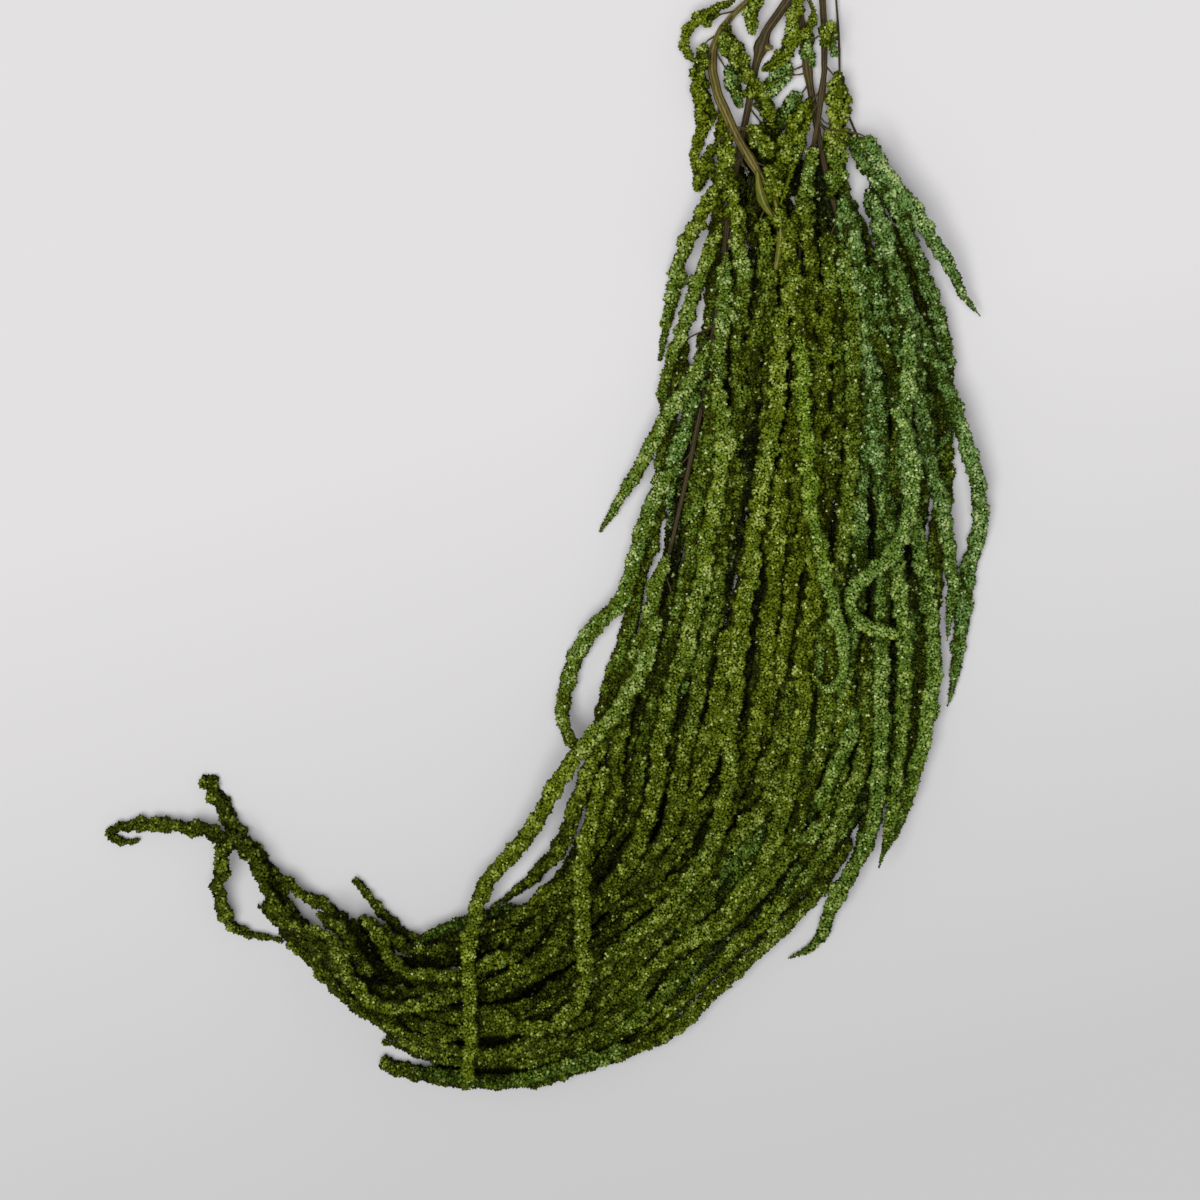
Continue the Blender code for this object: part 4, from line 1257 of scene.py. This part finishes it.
bark, tree, inputs, place = new_finish("bark", roughness=0.7, specular=0.15)
streak = noise(move("MULTIPLY", place, STREAK_STRETCH), STREAK_SIZE, 3.0)
blotch = noise(place, BLOTCH_SIZE, 2.0)
crest = ramped(plus(attribute_of(tree, "crest"), times(minus(streak, 0.5), OF_STREAK)), 0.15, 0.95)
age = ramped(plus(attribute_of(tree, "age"), times(minus(blotch, 0.5), OF_BLOTCH)), 0.0, 1.0)
sides = mixed(crest, mixed(age, *GROOVES), mixed(age, *CRESTS))
pith = mixed(ramped(streak, 0.35, 0.65), *PITH)
coloured(inputs, mixed(attribute_of(tree, "cut"), sides, pith))
bumped(inputs, streak, 0.5, 0.3 * MM)
print("bark", len(tree.nodes), "nodes")

# %% [markdown]
# The second stem forks just below the tie, and what goes on from there is no more than a side stalk. The
# third has a knuckle where a large leaf was torn off.

# %% Dress the stems
RIDGES = 8
STEM_AGES = {"stem_1": 0.75, "stem_2": 0.9, "stem_3": 0.85, "stem_4": 0.8, "stem_5": 0.25}
STEM_GIRTHS = {"stem_1": 0.7, "stem_2": 0.9, "stem_3": 0.75, "stem_4": 0.7, "stem_5": 0.88}
KNOTS = {"stem_1": (60, 172, 250), "stem_2": (75, 150), "stem_3": (50, 240, 330),
         "stem_4": (66, 176, 262), "stem_5": (58, 236, 300)}
KNOT_REACH = 3.5 * MM
KNOT_SWELL, KNUCKLE_SWELL = 0.3, 0.8
KNUCKLE_AT = 158  # in millimetres, like the knots
FORK_AT, FORK_LENGTH = 95 * MM, 15 * MM
STALK_GIRTH = 0.5 * MM
TAPER = ([0.55, 0.75, 1], [1, 0.65, 0.4])
WAISTS = {"stem_3": ([158, 166, 250, 300, 380, 455], [1.0, 0.82, 0.82, 0.9, 0.75, 0.4]),
          "stem_5": ([100, 125, 160, 172, 215], [1, 0.5, 0.5, 0.75, 1])}
AGE_GAINED, AGE_EVEN_AT = 0.5, 0.4
GROOVE_SHARE, TURNS = 0.88, 0.35


def with_cut(piece):
    """Marks the flat ends of a swept piece, which are its only faces with many corners."""
    ends = np.array([len(face.vertices) > 4 for face in piece.data.polygons], dtype=np.float32)
    mark = piece.data.attributes.new("cut", "FLOAT", "FACE")
    mark.data.foreach_set("value", ends)
    sharp = piece.data.attributes.get("sharp_face")
    if sharp is None:
        sharp = piece.data.attributes.new("sharp_face", "BOOLEAN", "FACE")
    sharp.data.foreach_set("value", ends.astype(bool))


def swollen(girth, along, place, swell):
    """The girth with a knot at a place, in millimetres."""
    return girth * (1 + swell * np.exp(-((along - place * MM) / KNOT_REACH) ** 2))


for name in stem_names:
    centres, radii = lines[name]
    points = evenly_spaced(np.column_stack([centres, radii])[::-1], RIDGE_STEP)
    along = np.linspace(0, length_of(centres), len(points))
    girth = points[:, 3] * STEM_GIRTHS[name]
    if name != "stem_3":
        girth = girth * np.interp(along / along[-1], *TAPER)
    if name == "stem_2":
        girth = np.interp(along, [0, FORK_AT, FORK_AT + FORK_LENGTH, along[-1]],
                          [girth[0], girth[0], STALK_GIRTH, STALK_GIRTH])
    if name in WAISTS:
        places, shares = WAISTS[name]
        girth = girth * np.interp(along, np.array(places) * MM, shares)
    if name == "stem_3":
        girth = swollen(girth, along, KNUCKLE_AT, KNUCKLE_SWELL)
    for knot in KNOTS[name]:
        girth = swollen(girth, along, knot, KNOT_SWELL)
    age = np.clip(STEM_AGES[name] + AGE_GAINED * (along / along[-1] - AGE_EVEN_AT), 0, 1)
    piece = grown(f"bark_{name}", [{"points": points[:, :3], "girth": girth, "age": age}], stem_tree,
                  {"Ridges": RIDGES, "Groove share": GROOVE_SHARE, "Turns": TURNS,
                   "Ring spacing": RIDGE_STEP, "Finish": bark})
    with_cut(piece)
    pressed(piece)
    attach(piece, "root")
    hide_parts(name)
    print(piece.name, len(piece.data.polygons), "faces")

# %% [markdown]
# ## Side stalks
#
# A tassel hangs on a thin side stalk that leaves its stem at a sharp angle a few centimetres higher up.
# Most are buried, but between the stems and at the edge they show as dark threads. Each one is a curve that
# starts along the stem and ends along its tassel.

# %% Grow the side stalks
LOOK_BACK = 14 * MM
LONGEST_STALK = 38 * MM
STALK_POINTS = 9
STALK_PULL = 1.2  # how long a stalk keeps to its stem and its tassel, as a share of its reach
STALK_TAPER = (1.0, 0.7)
STUB = np.array([5.0, -1.0, 2.0]) * MM  # what is left of the torn leaf's stalk at the knuckle
STUB_GIRTHS = np.array([2.6, 2.4, 2.0, 1.1]) * MM
stem_lines = [evenly_spaced(lines[name][0][::-1], 2 * MM) for name in stem_names]
stem_points = np.concatenate(stem_lines)
stem_ways = np.concatenate([headings(line) for line in stem_lines])


def stalk_strand(strand):
    """A thin curve from the nearest stem to the start of a tassel, or nothing where that is too far."""
    end = strand["points"][1]
    way = strand["points"][2] - strand["points"][0]
    way /= np.linalg.norm(way)
    away = np.linalg.norm(stem_points - (end - way * LOOK_BACK), axis=1)
    nearest = int(away.argmin())
    start = stem_points[nearest]
    reach = np.linalg.norm(end - start)
    if reach > LONGEST_STALK:
        return None
    share = np.linspace(0, 1, STALK_POINTS)[:, None]
    leave, arrive = stem_ways[nearest] * reach * STALK_PULL, way * reach * STALK_PULL
    points = ((2 * share**3 - 3 * share**2 + 1) * start + (share**3 - 2 * share**2 + share) * leave
              + (3 * share**2 - 2 * share**3) * end + (share**3 - share**2) * arrive)
    points[:, 2] = np.maximum(points[:, 2], STALK_GIRTH)
    return {"points": points, "girth": np.linspace(*STALK_TAPER, STALK_POINTS) * STALK_GIRTH,
            "age": np.full(STALK_POINTS, 0.8)}


stalks = [stalk_strand(strand) for strand, finish in to_dress.values()]
stalks = [stalk for stalk in stalks if stalk is not None]
knuckle = evenly_spaced(lines["stem_3"][0][::-1], 1 * MM)[KNUCKLE_AT]
stub = knuckle + np.linspace(0, 1, len(STUB_GIRTHS))[:, None] * STUB
stalks.append({"points": stub, "girth": STUB_GIRTHS, "age": np.full(len(STUB_GIRTHS), 0.1)})
piece = grown("side_stalks", stalks, stem_tree, {"Ridges": 4, "Groove share": 0.85, "Turns": 0.5,
                                                 "Ring spacing": 2.5 * MM, "Finish": bark})
with_cut(piece)
pressed(piece)
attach(piece, "root")
print("side stalks", len(stalks), "with", len(piece.data.polygons), "faces")

# %% [markdown]
# ## Leaves
#
# The few leaves left on the stems have dried to thin curled blades, folded along a pale midrib. Each is a
# grid with a row for every step of the leaf's line in the frame. The fold and a ripple along the edges are
# one formula, and the blade gets its thickness from a modifier.

# %% Dress the leaves
LEAF_CORNERS = 6
LEAF_STEP = 1.2 * MM
LEAF_COLUMNS = 9
LEAF_THICKNESS = 0.35 * MM
FOLD = math.radians(50)
LEAF_CURLS = (8 * MM, -4 * MM, 5 * MM)
LEAF_WIDENED = (1.5, 1.3, 1.3)
LEAF_SMOOTHING = 3
RIPPLE, RIPPLE_PACE, RIPPLE_LAG = 0.25, 0.55, 2.0  # the lag is between a leaf's two sides
FOLD_CURVE, FOLD_LEVEL, RIPPLE_SIDEWAYS = 1.4, 0.4, 0.3
BLADE = ((0.065, 0.100, 0.010, 1), (0.16, 0.16, 0.010, 1))
VEIN, RIB = (0.20, 0.21, 0.035, 1), (0.22, 0.215, 0.050, 1)
VEINS, VEIN_SLANT, VEIN_SHARE = 55.0, -5.0, 0.35

leaf_finish, tree, inputs, place = new_finish("dry_leaf", roughness=0.55, specular=0.3)
across = attribute_of(tree, "across")
rib = ramped(calc("ABSOLUTE", across), 0.16, 0.04)
along = attribute_of(tree, "along")
vein = calc("SINE", plus(times(along, VEINS), times(calc("ABSOLUTE", across), VEIN_SLANT)))
vein = ramped(vein, 0.75, 1.0)
blade = mixed(ramped(noise(place, 4 * MM, 3.0), 0.30, 0.58), *BLADE)
blade = mixed(times(vein, VEIN_SHARE), blade, VEIN)
coloured(inputs, mixed(rib, blade, RIB))
bumped(inputs, vein, 0.4, 0.3 * MM)


def leaf_blade(name, line, seed):
    centres, halves = line
    rows = evenly_spaced(np.column_stack([centres, halves * LEAF_WIDENED[seed]]), LEAF_STEP)
    rows[:, :3] = softened(rows[:, :3], LEAF_SMOOTHING)
    rows[:, 0] += LEAF_CURLS[seed] * np.linspace(0, 1, len(rows)) ** 3
    ways = headings(rows[:, :3])
    side = np.column_stack([ways[:, 1], -ways[:, 0], 0 * ways[:, 0]])
    side /= np.linalg.norm(side, axis=1)[:, None]
    shares = np.linspace(-1, 1, LEAF_COLUMNS)
    corners = []
    for row, (point, half) in enumerate(zip(rows[:, :3], rows[:, 3])):
        for share in shares:
            lag = RIPPLE_LAG if share > 0 else 0.0
            ripple = RIPPLE * share**2 * math.sin(row * RIPPLE_PACE + seed + lag)
            place = point + side[row] * share * half * math.sin(FOLD) * (1 + RIPPLE_SIDEWAYS * ripple)
            place[2] -= half * ((abs(share) ** FOLD_CURVE - FOLD_LEVEL) * math.cos(FOLD) + ripple)
            corners.append(tuple(place))
    faces = [(first, first + 1, first + 1 + LEAF_COLUMNS, first + LEAF_COLUMNS)
             for row in range(len(rows) - 1)
             for first in range(row * LEAF_COLUMNS, (row + 1) * LEAF_COLUMNS - 1)]
    mesh = bpy.data.meshes.new(name)
    mesh.from_pydata(corners, [], faces)
    write_values(mesh, "across", np.tile(shares, len(rows)))
    write_values(mesh, "along", np.repeat(np.linspace(0, 1, len(rows)), LEAF_COLUMNS))
    mesh.materials.append(leaf_finish)
    mesh.shade_smooth()
    piece = placed(name, mesh)
    thickness = piece.modifiers.new("thickness", "SOLIDIFY")
    thickness.thickness = LEAF_THICKNESS
    thickness.offset = 0.0
    made_plain(piece, thickness)
    return piece


leaf_names = sorted(name for name in nodes if name.startswith("leaf_"))
for seed, name in enumerate(leaf_names):
    piece = leaf_blade(f"blade_{name}", line_of(name, LEAF_CORNERS), seed)
    pressed(piece)
    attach(piece, "root")
    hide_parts(name)
    print(piece.name, len(piece.data.polygons), "faces")

# %% [markdown]
# ## The rubber band
#
# The band keeps the frame's shape. Its hard edges are rounded off, and faint ribs run round it, as on a
# band that was cut from a tube.

# %% Dress the band
BAND_ROUNDING = 0.3 * MM
RIB_SPACING = 1.1 * MM

rubber, tree, inputs, place = new_finish("rubber", roughness=0.6)
ribs = calc("SINE", times(part_of(place, "Y"), math.tau / RIB_SPACING))
coloured(inputs, mixed(noise(place, 5 * MM, 3.0), (0.26, 0.17, 0.075, 1), (0.42, 0.30, 0.15, 1)))
bumped(inputs, ribs, 0.5, 0.2 * MM)

loop = merged_copy("rubber_band")
mesh = bpy.data.meshes.new("band")
loop.to_mesh(mesh)
loop.free()
mesh.materials.clear()
mesh.materials.append(rubber)
mesh.shade_smooth()
band = placed("band", mesh)
rounding = band.modifiers.new("rounding", "BEVEL")
rounding.width = BAND_ROUNDING
rounding.segments = 2
rounding.limit_method = "ANGLE"
rounding.angle_limit = math.radians(60)
made_plain(band, rounding)
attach(band, "root")
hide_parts("rubber_band")
print("band", len(band.data.polygons), "faces")

# %% [markdown]
# ## Floor, light and camera
#
# The bunch lies on a plain pale table and is looked at from straight above. A long lens from high up keeps
# the tall middle of the pile from leaning outwards. One very broad lamp stands nearly overhead, a little
# towards the tail's side, so that shadows fall short and soft, and a pale sky fills them.

# %% Floor, light and camera
VIEW_SIDE = 0.54
VIEW_CENTRE = (0.0241, -0.0941)
CAMERA_HEIGHT = 2.6
CAMERA_LEVEL = 0.015  # the height at which the view is exactly VIEW_SIDE wide
SENSOR = 36.0
LAMP_FROM = (-0.14, -0.17, 1.0)
LAMP_WIDTH = 40
LAMP_STRENGTH = 2.5
SKY_STRENGTH = 0.22
# the table's colour carries a painted fall-off of light
TABLE_PAINTED_FALLOFF = ((0.585, 0.58, 0.585, 1), (0.772, 0.757, 0.764, 1))
FALLOFF_LEAN = 0.25  # painted fall-off of light: the table darkens towards the tail's side, a little aslant
DARK_UNTIL = -0.37

bpy.ops.mesh.primitive_plane_add(size=8.0, location=(0, 0, 0))
floor = bpy.context.object
floor.name = "floor"
paper, tree, inputs, place = new_finish("paper", roughness=0.9)
away = minus(part_of(place, "Y"), times(part_of(place, "X"), FALLOFF_LEAN))
painted_falloff = add(tree, "ShaderNodeMapRange", {"Value": away, "From Min": DARK_UNTIL, "From Max": 0.0})
coloured(inputs, mixed(painted_falloff, *TABLE_PAINTED_FALLOFF))
floor.data.materials.append(paper)

lamp_data = bpy.data.lights.new("soft_lamp", "SUN")
lamp_data.energy = LAMP_STRENGTH
lamp_data.angle = math.radians(LAMP_WIDTH)
lamp = placed("soft_lamp", lamp_data)
lamp.rotation_euler = Vector(LAMP_FROM).to_track_quat("Z", "Y").to_euler()

world = bpy.data.worlds.new("sky")
world.use_nodes = True
background = world.node_tree.nodes["Background"]
background.inputs["Color"].default_value = (1, 1, 1, 1)
background.inputs["Strength"].default_value = SKY_STRENGTH
bpy.context.scene.world = world
bpy.context.scene.view_settings.view_transform = "Standard"

camera_data = bpy.data.cameras.new("camera")
camera_data.sensor_width = SENSOR
camera_data.lens = SENSOR * (CAMERA_HEIGHT - CAMERA_LEVEL) / VIEW_SIDE
camera = placed("camera", camera_data)
camera.location = (*VIEW_CENTRE, CAMERA_HEIGHT)
bpy.context.scene.camera = camera
print("camera", tuple(camera.location), "lens", round(camera_data.lens, 1))

# %% Remove the helpers
for helper in (pile_shape, floret):
    bpy.data.objects.remove(helper)
